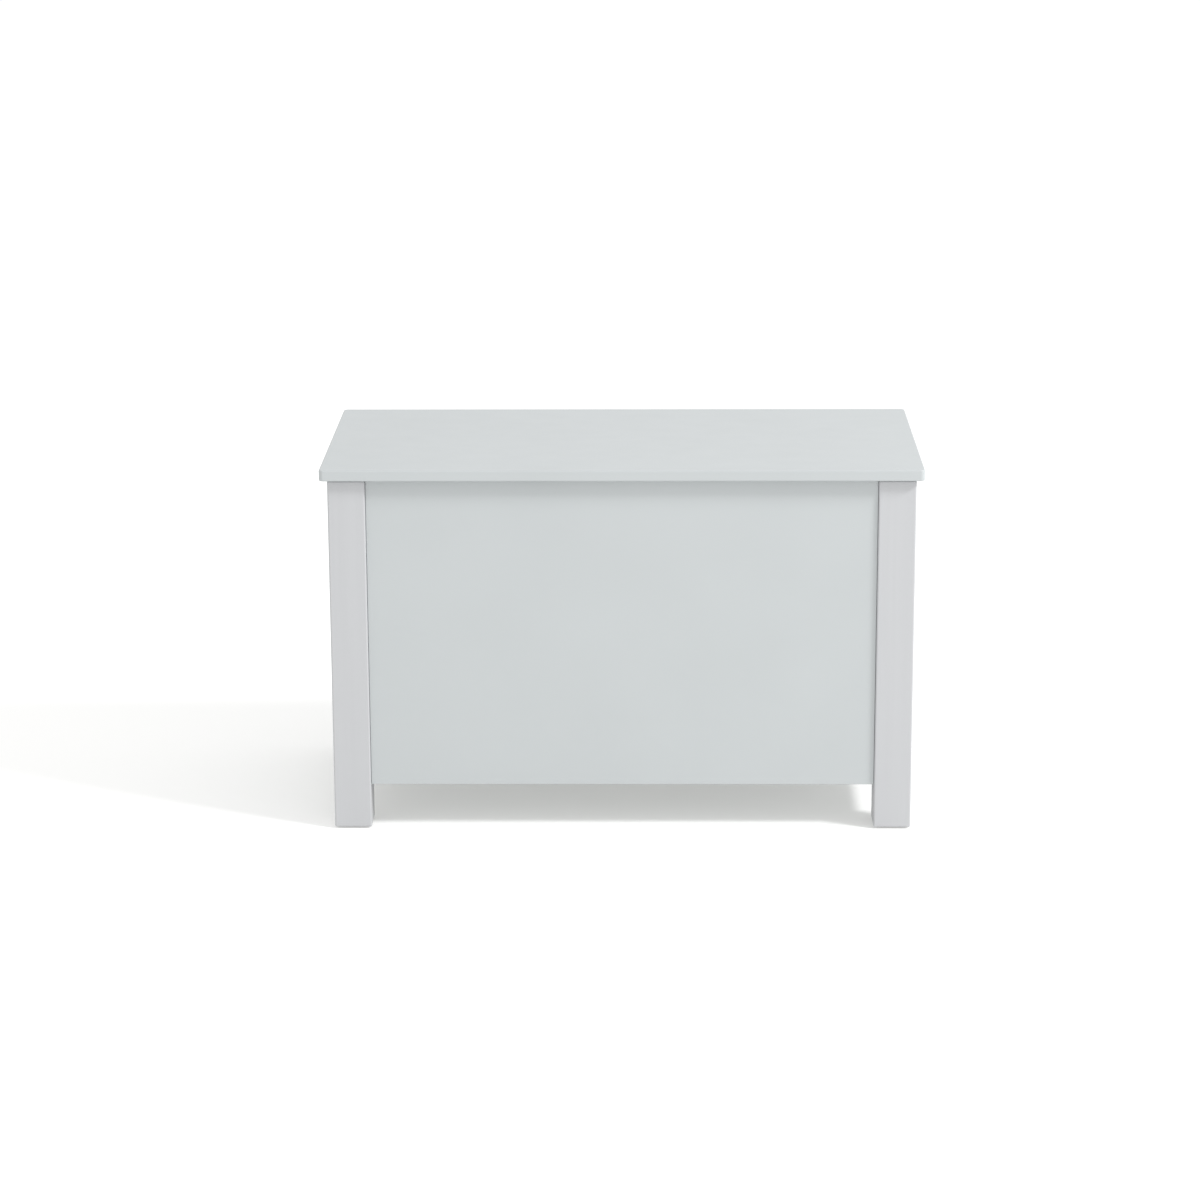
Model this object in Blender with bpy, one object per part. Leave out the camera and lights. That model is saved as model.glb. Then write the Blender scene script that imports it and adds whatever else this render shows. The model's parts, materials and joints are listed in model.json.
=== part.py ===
"""Wooden toy box with a hinged lid held by two telescopic struts.

Run it with: blender --background --python part.py
Metres, +Z up. The front faces -Y and the origin is on the floor, under the middle of the whole object.
"""

import math

import bmesh
import bpy
from mathutils import Euler, Matrix, Vector

# ---- driving dimensions ------------------------------------------------------------------------
LID_WIDTH = 0.800
LID_DEPTH = 0.400
BOX_HEIGHT = 0.500  # floor to the top of the lid

LID_THICKNESS = 0.015
WALL_THICKNESS = 0.015
BASE_THICKNESS = 0.009
LEG_SIDE = 0.050

LID_OVERHANG = 0.010  # lid past the legs, at the front and at both ends
WALL_RECESS = 0.004  # front and side walls behind the outer faces of the legs
FLOOR_CLEARANCE = 0.062  # floor to the bottom edge of the walls
LID_GAP = 0.002  # rim to the underside of the lid, where the hinge leaves lie

LID_CORNER = 0.006
LID_ARRIS = 0.0015
WALL_ARRIS = 0.001
LEG_ARRIS = 0.002

FIT_GAP = 0.0003  # between two pieces that rest on each other
BORE_GAP = 0.0002  # radial, round a pin, screw or rod

BASE_RISE = 0.012  # bottom edge of the walls to the underside of the base
GROOVE_DEPTH = 0.005
BASE_NOTCH_GAP = 0.001  # base to leg, at its cut-out corners

TONGUE_LENGTH = 0.008
TONGUE_THICKNESS = 0.006
TONGUE_INSET = 0.030  # the tongue stops this far short of the top and bottom of its wall

VENT_LENGTH = 0.080
VENT_HEIGHT = 0.016
VENT_X = 0.100
VENT_DROP = 0.055  # rim to the middle of the vent

GLIDE_RADIUS = 0.014
GLIDE_HEIGHT = 0.002
BUMPER_RADIUS = 0.005

HINGE_X = 0.230
HINGE_LENGTH = 0.060
KNUCKLES = 5
KNUCKLE_GAP = 0.0004
LEAF_WIDTH = 0.028  # from the axis
LEAF_THICKNESS = 0.0012
HINGE_PIN_RADIUS = 0.0013
LEAF_SCREW_SPREAD = 0.018  # each way from the middle of the hinge
LEAF_SCREW_REACH = 0.020  # from the axis

SCREW_HEAD_RADIUS = 0.0026
SCREW_SHANK_RADIUS = 0.0015
SCREW_LENGTH = 0.012
SCREW_TIP = 0.003

CAM_RADIUS = 0.0072
CAM_WEB = 0.0006  # past the bolt's head, at the blind end of the cam
CAM_FROM_END = 0.034  # end of the wall to the middle of the cam
CAM_FROM_EDGE = 0.060  # top or bottom edge of the wall to the middle of the cam
CAM_SLOT_LENGTH = 0.009
CAM_SLOT_WIDTH = 0.0016
CAM_SLOT_DEPTH = 0.0012
BOLT_NECK_RADIUS = 0.0025
BOLT_HEAD_RADIUS = 0.0034
BOLT_HEAD_LENGTH = 0.003
BOLT_COLLAR_RADIUS = 0.0036
BOLT_COLLAR_LENGTH = 0.0015
BOLT_THREAD_LENGTH = 0.011

LID_OPENS_DEG = 85
PIVOT_RADIUS = 0.160  # hinge axis to both ball studs of a strut
LEG_STUD_INSET = 0.033  # back of the box to the stud on the leg
LID_STUD_DROP = 0.011  # underside of the lid to the stud on the lid
STUD_REACH = 0.013  # inner face of the leg to the middle of the ball
BALL_RADIUS = 0.004
STUD_NECK_RADIUS = 0.0022
STUD_FLANGE_RADIUS = 0.006
STUD_FLANGE_THICKNESS = 0.0015
STUD_SHANK_LENGTH = 0.014
BRACKET_THICKNESS = 0.002
BRACKET_LENGTH = 0.040
BRACKET_WIDTH = 0.028
BRACKET_TAB = 0.020
BRACKET_SCREW_SPREAD = 0.013

SOCKET_RADIUS = 0.007
SOCKET_BACK = 0.006  # ball to the closed side of the socket
SOCKET_MOUTH = 0.0045  # ball to the open side
SOCKET_STEM_RADIUS = 0.005
ROD_STEM_END = 0.022  # ball to the end of the socket on the rod
TUBE_START = 0.020  # ball to the closed end of the tube
TUBE_RADIUS = 0.0075
TUBE_WALL = 0.001
TUBE_END_WALL = 0.003
TUBE_GUIDE_LENGTH = 0.010
TUBE_REST_GAP = 0.002  # tube to the rod's socket, with the lid shut
ROD_RADIUS = 0.003
ROD_THREAD_LENGTH = 0.011
PISTON_LENGTH = 0.008
PISTON_REST_GAP = 0.002  # piston to the tube's guide, with the lid wide open

FINE_STEPS = 24
SMALL_STEPS = 12

# ---- places worked out from them ---------------------------------------------------------------
HINGE_BORE_RADIUS = HINGE_PIN_RADIUS + BORE_GAP
KNUCKLE_RADIUS = HINGE_BORE_RADIUS + LEAF_THICKNESS
FRONT_Y = -(LID_DEPTH + FIT_GAP + 2 * KNUCKLE_RADIUS) / 2
REAR_Y = FRONT_Y + LID_DEPTH
LID_UNDER_Z = BOX_HEIGHT - LID_THICKNESS
RIM_Z = LID_UNDER_Z - LID_GAP
HINGE_AXIS = Vector((0, REAR_Y + FIT_GAP + KNUCKLE_RADIUS, LID_UNDER_Z - FIT_GAP - KNUCKLE_RADIUS))

LEG_OUTER_X = LID_WIDTH / 2 - LID_OVERHANG
LEG_INNER_X = LEG_OUTER_X - LEG_SIDE
LEG_MIDDLE_X = LEG_OUTER_X - LEG_SIDE / 2
LEG_FRONT_Y = FRONT_Y + LID_OVERHANG
LEG_BOTTOM_Z = GLIDE_HEIGHT + FIT_GAP
FRONT_LEG_Y = LEG_FRONT_Y + LEG_SIDE / 2
REAR_LEG_Y = REAR_Y - LEG_SIDE / 2

WALL_BOTTOM_Z = FLOOR_CLEARANCE
WALL_HALF_LENGTH = LEG_INNER_X - FIT_GAP
FRONT_WALL_Y = LEG_FRONT_Y + WALL_RECESS + WALL_THICKNESS / 2
BACK_WALL_Y = REAR_Y - WALL_THICKNESS / 2
SIDE_WALL_X = LEG_OUTER_X - WALL_RECESS - WALL_THICKNESS / 2
SIDE_WALL_FRONT_Y = LEG_FRONT_Y + LEG_SIDE + FIT_GAP
SIDE_WALL_REAR_Y = REAR_Y - LEG_SIDE - FIT_GAP
BASE_BOTTOM_Z = WALL_BOTTOM_Z + BASE_RISE
BASE_MIDDLE_Z = BASE_BOTTOM_Z + BASE_THICKNESS / 2

CAM_X = WALL_HALF_LENGTH - CAM_FROM_END
CAM_HEIGHT = WALL_THICKNESS / 2 + BOLT_HEAD_RADIUS + BORE_GAP + CAM_WEB
CAM_HEIGHTS = (WALL_BOTTOM_Z + CAM_FROM_EDGE, RIM_Z - CAM_FROM_EDGE)
SCREW_HEAD_HEIGHT = SCREW_HEAD_RADIUS - SCREW_SHANK_RADIUS

# Both studs of a strut stand at the same distance from the hinge axis, so the strut turns by exactly half
# of the lid's angle at each end, and the rod stays in line with its tube.
STRUT_X = LEG_INNER_X - STUD_REACH
LEG_STUD_Y = REAR_Y - LEG_STUD_INSET - HINGE_AXIS.y
LEG_STUD = HINGE_AXIS + Vector((0, LEG_STUD_Y, -math.sqrt(PIVOT_RADIUS**2 - LEG_STUD_Y**2)))
LID_STUD_Z = LID_UNDER_Z - LID_STUD_DROP - HINGE_AXIS.z
LID_STUD = HINGE_AXIS + Vector((0, -math.sqrt(PIVOT_RADIUS**2 - LID_STUD_Z**2), LID_STUD_Z))
STRUT_SHUT = (LID_STUD - LEG_STUD).length
STRUT_SHUT_ANGLE = 2 * math.asin(STRUT_SHUT / (2 * PIVOT_RADIUS))
STRUT_OPEN = 2 * PIVOT_RADIUS * math.sin((STRUT_SHUT_ANGLE + math.radians(LID_OPENS_DEG)) / 2)
STRUT_TILT = math.atan2(LEG_STUD.y - LID_STUD.y, LID_STUD.z - LEG_STUD.z)  # forward from upright, lid shut
TUBE_END = STRUT_SHUT - ROD_STEM_END - TUBE_REST_GAP
ROD_TIP = TUBE_END - TUBE_GUIDE_LENGTH - PISTON_REST_GAP - PISTON_LENGTH - (STRUT_OPEN - STRUT_SHUT)

SIDES = (("left", -1), ("right", 1))


# ---- materials ---------------------------------------------------------------------------------
def finish(name, colour, roughness, metallic=0.0):
    """A Principled material of one linear colour."""
    material = bpy.data.materials.new(name)
    material.use_nodes = True
    shader = material.node_tree.nodes["Principled BSDF"]
    shader.inputs["Base Color"].default_value = (*colour, 1)
    shader.inputs["Roughness"].default_value = roughness
    shader.inputs["Metallic"].default_value = metallic
    return material


# ---- shapes ------------------------------------------------------------------------------------
def block(size, middle=(0, 0, 0)):
    """A plain box as a bmesh, of that size round that middle."""
    shape = bmesh.new()
    bmesh.ops.create_cube(shape, size=1, matrix=Matrix.Translation(middle) @ Matrix.Diagonal((*size, 1)))
    return shape


def spun(profile, steps):
    """A turned solid: a profile of (radius, height) points spun about Z. It starts and ends on the axis."""
    shape = bmesh.new()
    points = [shape.verts.new((radius, 0, height)) for radius, height in profile]
    edges = [shape.edges.new(pair) for pair in zip(points, points[1:])]
    bmesh.ops.spin(
        shape,
        geom=points + edges,
        cent=(0, 0, 0),
        axis=(0, 0, 1),
        angle=math.tau,
        steps=steps,
        use_merge=True,
    )
    bmesh.ops.remove_doubles(shape, verts=shape.verts, dist=1e-6)
    bmesh.ops.recalc_face_normals(shape, faces=shape.faces)
    return shape


def rod_shape(radius, start, end, steps=SMALL_STEPS):
    """A plain cylinder along Z from start to end."""
    return spun([(0, start), (radius, start), (radius, end), (0, end)], steps)


def plate(outline, thickness):
    """An outline of (x, y) points, anticlockwise, raised along +Z by the thickness."""
    shape = bmesh.new()
    face = shape.faces.new([shape.verts.new((x, y, 0)) for x, y in outline])
    raised = bmesh.ops.extrude_face_region(shape, geom=[face])["geom"]
    top = [item for item in raised if isinstance(item, bmesh.types.BMVert)]
    bmesh.ops.translate(shape, verts=top, vec=(0, 0, thickness))
    bmesh.ops.recalc_face_normals(shape, faces=shape.faces)
    return shape


def gathered(shapes):
    """Several bmeshes as one."""
    whole = bmesh.new()
    for shape in shapes:
        mesh = bpy.data.meshes.new("gathered")
        shape.to_mesh(mesh)
        shape.free()
        whole.from_mesh(mesh)
        bpy.data.meshes.remove(mesh)
    return whole


def turned_to(shape, turn=(0, 0, 0), move=(0, 0, 0)):
    """The bmesh turned by XYZ angles in degrees and then moved."""
    matrix = Matrix.Translation(move) @ Euler([math.radians(a) for a in turn]).to_matrix().to_4x4()
    bmesh.ops.transform(shape, matrix=matrix, verts=shape.verts)
    return shape


# ---- objects -----------------------------------------------------------------------------------
def pivot(name, location, turn=(0, 0, 0)):
    """An empty that moving pieces hang from, standing on their joint's axis."""
    empty = bpy.data.objects.new(name, None)
    bpy.context.scene.collection.objects.link(empty)
    empty.location = location
    empty.rotation_euler = turn
    return empty


def part(name, shape, material, location=(0, 0, 0), parent=None):
    """An object made from a bmesh. Its location counts from its parent."""
    mesh = bpy.data.meshes.new(name)
    shape.to_mesh(mesh)
    shape.free()
    mesh.shade_smooth()
    mesh.set_sharp_from_angle(angle=math.radians(35))
    mesh.materials.append(material)
    made = bpy.data.objects.new(name, mesh)
    bpy.context.scene.collection.objects.link(made)
    made.parent = parent
    made.location = location
    return made


def combine(target, operation, name, shape, location=(0, 0, 0)):
    """Cuts the shape from the target or joins it on, with a hidden helper that rides on the target."""
    mesh = bpy.data.meshes.new(name)
    shape.to_mesh(mesh)
    shape.free()
    helper = bpy.data.objects.new(name, mesh)
    bpy.context.scene.collection.objects.link(helper)
    helper.parent = target
    helper.location = location
    helper.hide_render = True
    helper.display_type = "WIRE"
    boolean = target.modifiers.new(name, "BOOLEAN")
    boolean.operation = operation
    boolean.object = helper
    boolean.solver = "EXACT"


def ease_edges(target, radius):
    """Rounds every sharp edge of the target."""
    bevel = target.modifiers.new("arris", "BEVEL")
    bevel.width = radius
    bevel.segments = 2
    bevel.limit_method = "ANGLE"
    bevel.angle_limit = math.radians(60)


def board(name, size, middle, material, arris, parent=None):
    """A flat board with eased edges, standing on its own middle."""
    made = part(name, block(size), material, middle, parent)
    ease_edges(made, arris)
    return made


def pilot_holes(target, name, places, turn):
    """Blind holes for wood screws, at those places on the target's face. They go in along +Z, once turned."""
    radius = SCREW_SHANK_RADIUS + BORE_GAP
    depth = SCREW_LENGTH + BORE_GAP
    holes = [turned_to(rod_shape(radius, -LEAF_THICKNESS, depth), turn, place) for place in places]
    combine(target, "DIFFERENCE", name, gathered(holes))


# ---- wood --------------------------------------------------------------------------------------
def make_legs(wood, nylon, rubber):
    """Four square posts, grooved for the side walls and bored for cam bolts and strut studs."""
    height = RIM_Z - LEG_BOTTOM_Z
    middle_z = LEG_BOTTOM_Z + height / 2
    for side, sign in SIDES:
        for end, y, wall_y, inward in (
            ("front", FRONT_LEG_Y, FRONT_WALL_Y, 1),
            ("rear", REAR_LEG_Y, BACK_WALL_Y, -1),
        ):
            name = f"{end}_{side}_leg"
            middle = Vector((sign * LEG_MIDDLE_X, y, middle_z))
            leg = board(name, (LEG_SIDE, LEG_SIDE, height), middle, wood, LEG_ARRIS)
            cut_tongue_groove(leg, name, sign, inward, middle)
            bores = [
                turned_to(
                    rod_shape(BOLT_NECK_RADIUS + BORE_GAP, -FIT_GAP, BOLT_THREAD_LENGTH + FIT_GAP),
                    (0, 90 * sign, 0),
                    Vector((sign * LEG_INNER_X, wall_y, cam_z)) - middle,
                )
                for cam_z in CAM_HEIGHTS
            ]
            combine(leg, "DIFFERENCE", name + "_bolt_bores", gathered(bores))
            if end == "rear":
                stud = rod_shape(STUD_NECK_RADIUS + BORE_GAP, -FIT_GAP, STUD_SHANK_LENGTH + FIT_GAP)
                at = Vector((sign * LEG_INNER_X, LEG_STUD.y, LEG_STUD.z)) - middle
                combine(leg, "DIFFERENCE", name + "_stud_bore", turned_to(stud, (0, 90 * sign, 0), at))
            glide = rod_shape(GLIDE_RADIUS, 0, GLIDE_HEIGHT, FINE_STEPS)
            part(f"{end}_{side}_glide", glide, nylon, (middle.x, middle.y, 0))
        bumper = rod_shape(BUMPER_RADIUS, FIT_GAP, LID_GAP - FIT_GAP, SMALL_STEPS)
        part(f"{side}_lid_bumper", bumper, rubber, (sign * LEG_MIDDLE_X, FRONT_LEG_Y, RIM_Z))


def cut_tongue_groove(leg, name, sign, inward, middle):
    """The stopped groove for the side wall's tongue, in the leg's face that looks at the other leg."""
    size = (
        TONGUE_THICKNESS + 2 * FIT_GAP,
        2 * TONGUE_LENGTH,
        RIM_Z - WALL_BOTTOM_Z - 2 * TONGUE_INSET + 2 * FIT_GAP,
    )
    at = Vector((sign * SIDE_WALL_X, middle.y + inward * LEG_SIDE / 2, (RIM_Z + WALL_BOTTOM_Z) / 2))
    combine(leg, "DIFFERENCE", name + "_groove", block(size), at - middle)


def make_long_wall(name, y, inward, wood):
    """The front or back wall. Inward is +1 where the box is behind it and -1 where the box is before it."""
    height = RIM_Z - WALL_BOTTOM_Z
    middle = Vector((0, y, WALL_BOTTOM_Z + height / 2))
    wall = board(name, (2 * WALL_HALF_LENGTH, WALL_THICKNESS, height), middle, wood, WALL_ARRIS)
    inner_y = inward * WALL_THICKNESS / 2

    groove = (2 * LEG_OUTER_X, 2 * GROOVE_DEPTH, BASE_THICKNESS + 2 * FIT_GAP)
    combine(wall, "DIFFERENCE", name + "_base_groove", block(groove), (0, inner_y, BASE_MIDDLE_Z - middle.z))

    pocket_depth = CAM_HEIGHT + FIT_GAP
    pockets, bores = [], []
    for sign in (-1, 1):
        for cam_z in CAM_HEIGHTS:
            pocket = rod_shape(CAM_RADIUS + FIT_GAP, -FIT_GAP, pocket_depth, FINE_STEPS)
            at = Vector((sign * CAM_X, inner_y, cam_z - middle.z))
            pockets.append(turned_to(pocket, (90 * inward, 0, 0), at))
            bore = rod_shape(BOLT_COLLAR_RADIUS + BORE_GAP, -FIT_GAP, CAM_FROM_END)
            at = Vector((sign * (WALL_HALF_LENGTH + FIT_GAP), 0, cam_z - middle.z))
            bores.append(turned_to(bore, (0, -90 * sign, 0), at))
    combine(wall, "DIFFERENCE", name + "_cam_pockets", gathered(pockets))
    combine(wall, "DIFFERENCE", name + "_bolt_bores", gathered(bores))
    return wall, middle


def make_back_wall(wood):
    """The back wall also has two slotted air vents and the pilot holes for the hinges."""
    wall, middle = make_long_wall("back_wall", BACK_WALL_Y, -1, wood)
    for side, sign in SIDES:
        straight = (VENT_LENGTH - VENT_HEIGHT) / 2
        ends = [(1, -90), (-1, 90)]
        outline = [
            (way * straight + VENT_HEIGHT / 2 * math.cos(a), VENT_HEIGHT / 2 * math.sin(a))
            for way, first in ends
            for a in [math.radians(first + 180 * i / SMALL_STEPS) for i in range(SMALL_STEPS + 1)]
        ]
        slot = turned_to(plate(outline, 2 * WALL_THICKNESS), (90, 0, 0), (0, WALL_THICKNESS, 0))
        at = (sign * VENT_X, 0, RIM_Z - VENT_DROP - middle.z)
        combine(wall, "DIFFERENCE", f"{side}_vent", slot, at)
    places = [
        Vector((sign * HINGE_X + spread, REAR_Y, HINGE_AXIS.z - LEAF_SCREW_REACH)) - middle
        for sign in (-1, 1)
        for spread in (-LEAF_SCREW_SPREAD, LEAF_SCREW_SPREAD)
    ]
    pilot_holes(wall, "back_wall_pilots", places, (90, 0, 0))


def make_side_walls(wood):
    """The end walls, with a tongue along each upright edge and a groove for the base."""
    length = SIDE_WALL_REAR_Y - SIDE_WALL_FRONT_Y
    height = RIM_Z - WALL_BOTTOM_Z
    for side, sign in SIDES:
        name = f"{side}_wall"
        middle_y = (SIDE_WALL_FRONT_Y + SIDE_WALL_REAR_Y) / 2
        middle = Vector((sign * SIDE_WALL_X, middle_y, WALL_BOTTOM_Z + height / 2))
        wall = board(name, (WALL_THICKNESS, length, height), middle, wood, WALL_ARRIS)
        tongue = block((TONGUE_THICKNESS, length + 2 * TONGUE_LENGTH, height - 2 * TONGUE_INSET))
        combine(wall, "UNION", name + "_tongues", tongue)
        groove = block((2 * GROOVE_DEPTH, 2 * length, BASE_THICKNESS + 2 * FIT_GAP))
        at = (-sign * WALL_THICKNESS / 2, 0, BASE_MIDDLE_Z - middle.z)
        combine(wall, "DIFFERENCE", name + "_base_groove", groove, at)


def make_base(wood):
    """The floor of the box, let into all four walls and cut out round the legs."""
    outer_x = SIDE_WALL_X - WALL_THICKNESS / 2 + GROOVE_DEPTH - FIT_GAP
    inner_x = LEG_INNER_X - BASE_NOTCH_GAP
    front = FRONT_WALL_Y + WALL_THICKNESS / 2 - GROOVE_DEPTH + FIT_GAP
    front_notch = LEG_FRONT_Y + LEG_SIDE + BASE_NOTCH_GAP
    rear_notch = REAR_Y - LEG_SIDE - BASE_NOTCH_GAP
    rear = BACK_WALL_Y - WALL_THICKNESS / 2 + GROOVE_DEPTH - FIT_GAP
    right_half = [
        (inner_x, front),
        (inner_x, front_notch),
        (outer_x, front_notch),
        (outer_x, rear_notch),
        (inner_x, rear_notch),
        (inner_x, rear),
    ]
    outline = right_half + [(-x, y) for x, y in reversed(right_half)]
    part("base_panel", plate(outline, BASE_THICKNESS), wood, (0, 0, BASE_BOTTOM_Z))


def make_lid(wood, lid_pivot):
    """The lid, with rounded corners and the pilot holes for its hinge leaves and strut brackets."""
    shape = block((LID_WIDTH, LID_DEPTH, LID_THICKNESS))
    upright = [e for e in shape.edges if abs(e.verts[0].co.z - e.verts[1].co.z) > LID_THICKNESS / 2]
    bmesh.ops.bevel(shape, geom=upright, offset=LID_CORNER, segments=4, profile=0.5, affect="EDGES")
    middle = Vector((0, (FRONT_Y + REAR_Y) / 2, LID_UNDER_Z + LID_THICKNESS / 2))
    lid = part("lid", shape, wood, middle - HINGE_AXIS, lid_pivot)
    ease_edges(lid, LID_ARRIS)
    places = []
    for sign in (-1, 1):
        for spread in (-LEAF_SCREW_SPREAD, LEAF_SCREW_SPREAD):
            places.append((sign * HINGE_X + spread, HINGE_AXIS.y - LEAF_SCREW_REACH, LID_UNDER_Z))
        for spread in (-BRACKET_SCREW_SPREAD, BRACKET_SCREW_SPREAD):
            places.append((sign * bracket_screw_x(), LID_STUD.y + spread, LID_UNDER_Z))
    pilot_holes(lid, "lid_pilots", [Vector(place) - middle for place in places], (0, 0, 0))


# ---- fasteners ---------------------------------------------------------------------------------
def screw_shape():
    """A countersunk wood screw pointing along +Z, with the top of its head at the origin."""
    return spun(
        [
            (0, 0),
            (SCREW_HEAD_RADIUS, 0),
            (SCREW_SHANK_RADIUS, SCREW_HEAD_HEIGHT),
            (SCREW_SHANK_RADIUS, SCREW_LENGTH - SCREW_TIP),
            (0, SCREW_LENGTH),
        ],
        SMALL_STEPS,
    )


def screw_seat():
    """The cutter for a screw's clearance hole and countersink, placed as the screw is."""
    head = SCREW_HEAD_RADIUS + BORE_GAP
    shank = SCREW_SHANK_RADIUS + BORE_GAP
    return spun(
        [
            (0, -FIT_GAP),
            (head, -FIT_GAP),
            (head, 0),
            (shank, SCREW_HEAD_HEIGHT),
            (shank, SCREW_HEAD_HEIGHT + BRACKET_THICKNESS),
            (0, SCREW_HEAD_HEIGHT + BRACKET_THICKNESS),
        ],
        SMALL_STEPS,
    )


def make_cams(zinc, steel):
    """The eight cam locks of the front and back walls, each with the bolt that it draws in."""
    bore_depth = WALL_THICKNESS / 2  # inner face of the wall to the bolt's axis
    slot_half = BOLT_HEAD_RADIUS + BORE_GAP
    for wall_name, wall_y, inward in (("front", FRONT_WALL_Y, 1), ("back", BACK_WALL_Y, -1)):
        inner_y = wall_y + inward * WALL_THICKNESS / 2
        for side, sign in SIDES:
            for level, cam_z in zip(("lower", "upper"), CAM_HEIGHTS):
                where = f"{wall_name}_{side}_{level}"
                # Local +Z goes into the wall, from its inner face.
                cam = part(f"{where}_cam", rod_shape(CAM_RADIUS, 0, CAM_HEIGHT, FINE_STEPS), zinc)
                cam.location = (sign * CAM_X, inner_y, cam_z)
                cam.rotation_euler = (math.radians(90 * inward), 0, 0)
                top = bore_depth - slot_half
                mouth = block((2 * CAM_RADIUS, 2 * slot_half, 2 * CAM_HEIGHT))
                # The bolt's head ends a little past the middle of the cam.
                past = BOLT_HEAD_LENGTH / 2 + BORE_GAP
                at = (sign * (CAM_RADIUS - past), 0, top + CAM_HEIGHT)
                combine(cam, "DIFFERENCE", f"{where}_cam_mouth", mouth, at)
                for turn in (0, 90):
                    cross = block((CAM_SLOT_LENGTH, CAM_SLOT_WIDTH, 2 * CAM_SLOT_DEPTH))
                    turned_to(cross, (0, 0, turn))
                    combine(cam, "DIFFERENCE", f"{where}_cam_slot_{turn}", cross)
                make_cam_bolt(f"{where}_cam_bolt", sign, wall_y, cam_z, steel)


def make_cam_bolt(name, sign, wall_y, cam_z, steel):
    """A bolt threaded into the leg, with its collar against it and its head in the cam."""
    length = CAM_FROM_END + FIT_GAP + BOLT_HEAD_LENGTH / 2
    bolt = spun(
        [
            (0, -BOLT_THREAD_LENGTH),
            (BOLT_NECK_RADIUS, -BOLT_THREAD_LENGTH),
            (BOLT_NECK_RADIUS, FIT_GAP),
            (BOLT_COLLAR_RADIUS, FIT_GAP),
            (BOLT_COLLAR_RADIUS, FIT_GAP + BOLT_COLLAR_LENGTH),
            (BOLT_NECK_RADIUS, FIT_GAP + BOLT_COLLAR_LENGTH),
            (BOLT_NECK_RADIUS, length - BOLT_HEAD_LENGTH),
            (BOLT_HEAD_RADIUS, length - BOLT_HEAD_LENGTH),
            (BOLT_HEAD_RADIUS, length),
            (0, length),
        ],
        SMALL_STEPS,
    )
    made = part(name, bolt, steel, (sign * LEG_INNER_X, wall_y, cam_z))
    made.rotation_euler = (0, math.radians(-90 * sign), 0)


# ---- hinges ------------------------------------------------------------------------------------
def leaf_outline(first):
    """A hinge leaf's comb outline: x along the hinge and y away from the axis. It stops short of the other
    leaf's knuckles, which are every second one from first."""
    pitch = HINGE_LENGTH / KNUCKLES
    clear = KNUCKLE_RADIUS + FIT_GAP
    points = [(-HINGE_LENGTH / 2, LEAF_WIDTH)]
    for i in range(KNUCKLES):
        height = clear if i % 2 == first else 0
        inset = KNUCKLE_GAP / 2 if height == 0 else -KNUCKLE_GAP / 2
        start = -HINGE_LENGTH / 2 + i * pitch + (inset if i else 0)
        end = -HINGE_LENGTH / 2 + (i + 1) * pitch - (inset if i < KNUCKLES - 1 else 0)
        points += [(start, height), (end, height)]
    return points + [(HINGE_LENGTH / 2, LEAF_WIDTH)]


def leaf_shape(first):
    """A leaf lying in X and Y, with the axis along X at the origin and the outer face above it."""
    shape = plate(leaf_outline(first), LEAF_THICKNESS)
    return turned_to(shape, (0, 0, 0), (0, 0, KNUCKLE_RADIUS - LEAF_THICKNESS))


def knuckle_shapes(first):
    """The leaf's own barrels, every second one, and the bore right through them."""
    pitch = HINGE_LENGTH / KNUCKLES
    barrels = []
    for i in range(KNUCKLES):
        if i % 2 == first:
            continue
        start = -HINGE_LENGTH / 2 + i * pitch + (KNUCKLE_GAP / 2 if i else 0)
        end = -HINGE_LENGTH / 2 + (i + 1) * pitch - (KNUCKLE_GAP / 2 if i < KNUCKLES - 1 else 0)
        barrels.append(turned_to(rod_shape(KNUCKLE_RADIUS, start, end, FINE_STEPS), (0, 90, 0)))
    bore = turned_to(rod_shape(HINGE_BORE_RADIUS, -HINGE_LENGTH, HINGE_LENGTH, FINE_STEPS), (0, 90, 0))
    return gathered(barrels), bore


def make_leaf(name, first, location, parent, turn, steel):
    """One hinge leaf: its plate, its barrels, the bore for the pin and two countersunk holes."""
    leaf = part(name, leaf_shape(first), steel, location, parent)
    leaf.rotation_euler = turn
    barrels, bore = knuckle_shapes(first)
    combine(leaf, "UNION", name + "_barrels", barrels)
    combine(leaf, "DIFFERENCE", name + "_bore", bore)
    top = KNUCKLE_RADIUS - LEAF_THICKNESS
    seats = [
        turned_to(screw_seat(), (0, 0, 0), (spread, LEAF_SCREW_REACH, top))
        for spread in (-LEAF_SCREW_SPREAD, LEAF_SCREW_SPREAD)
    ]
    combine(leaf, "DIFFERENCE", name + "_screw_seats", gathered(seats))
    return leaf


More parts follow.
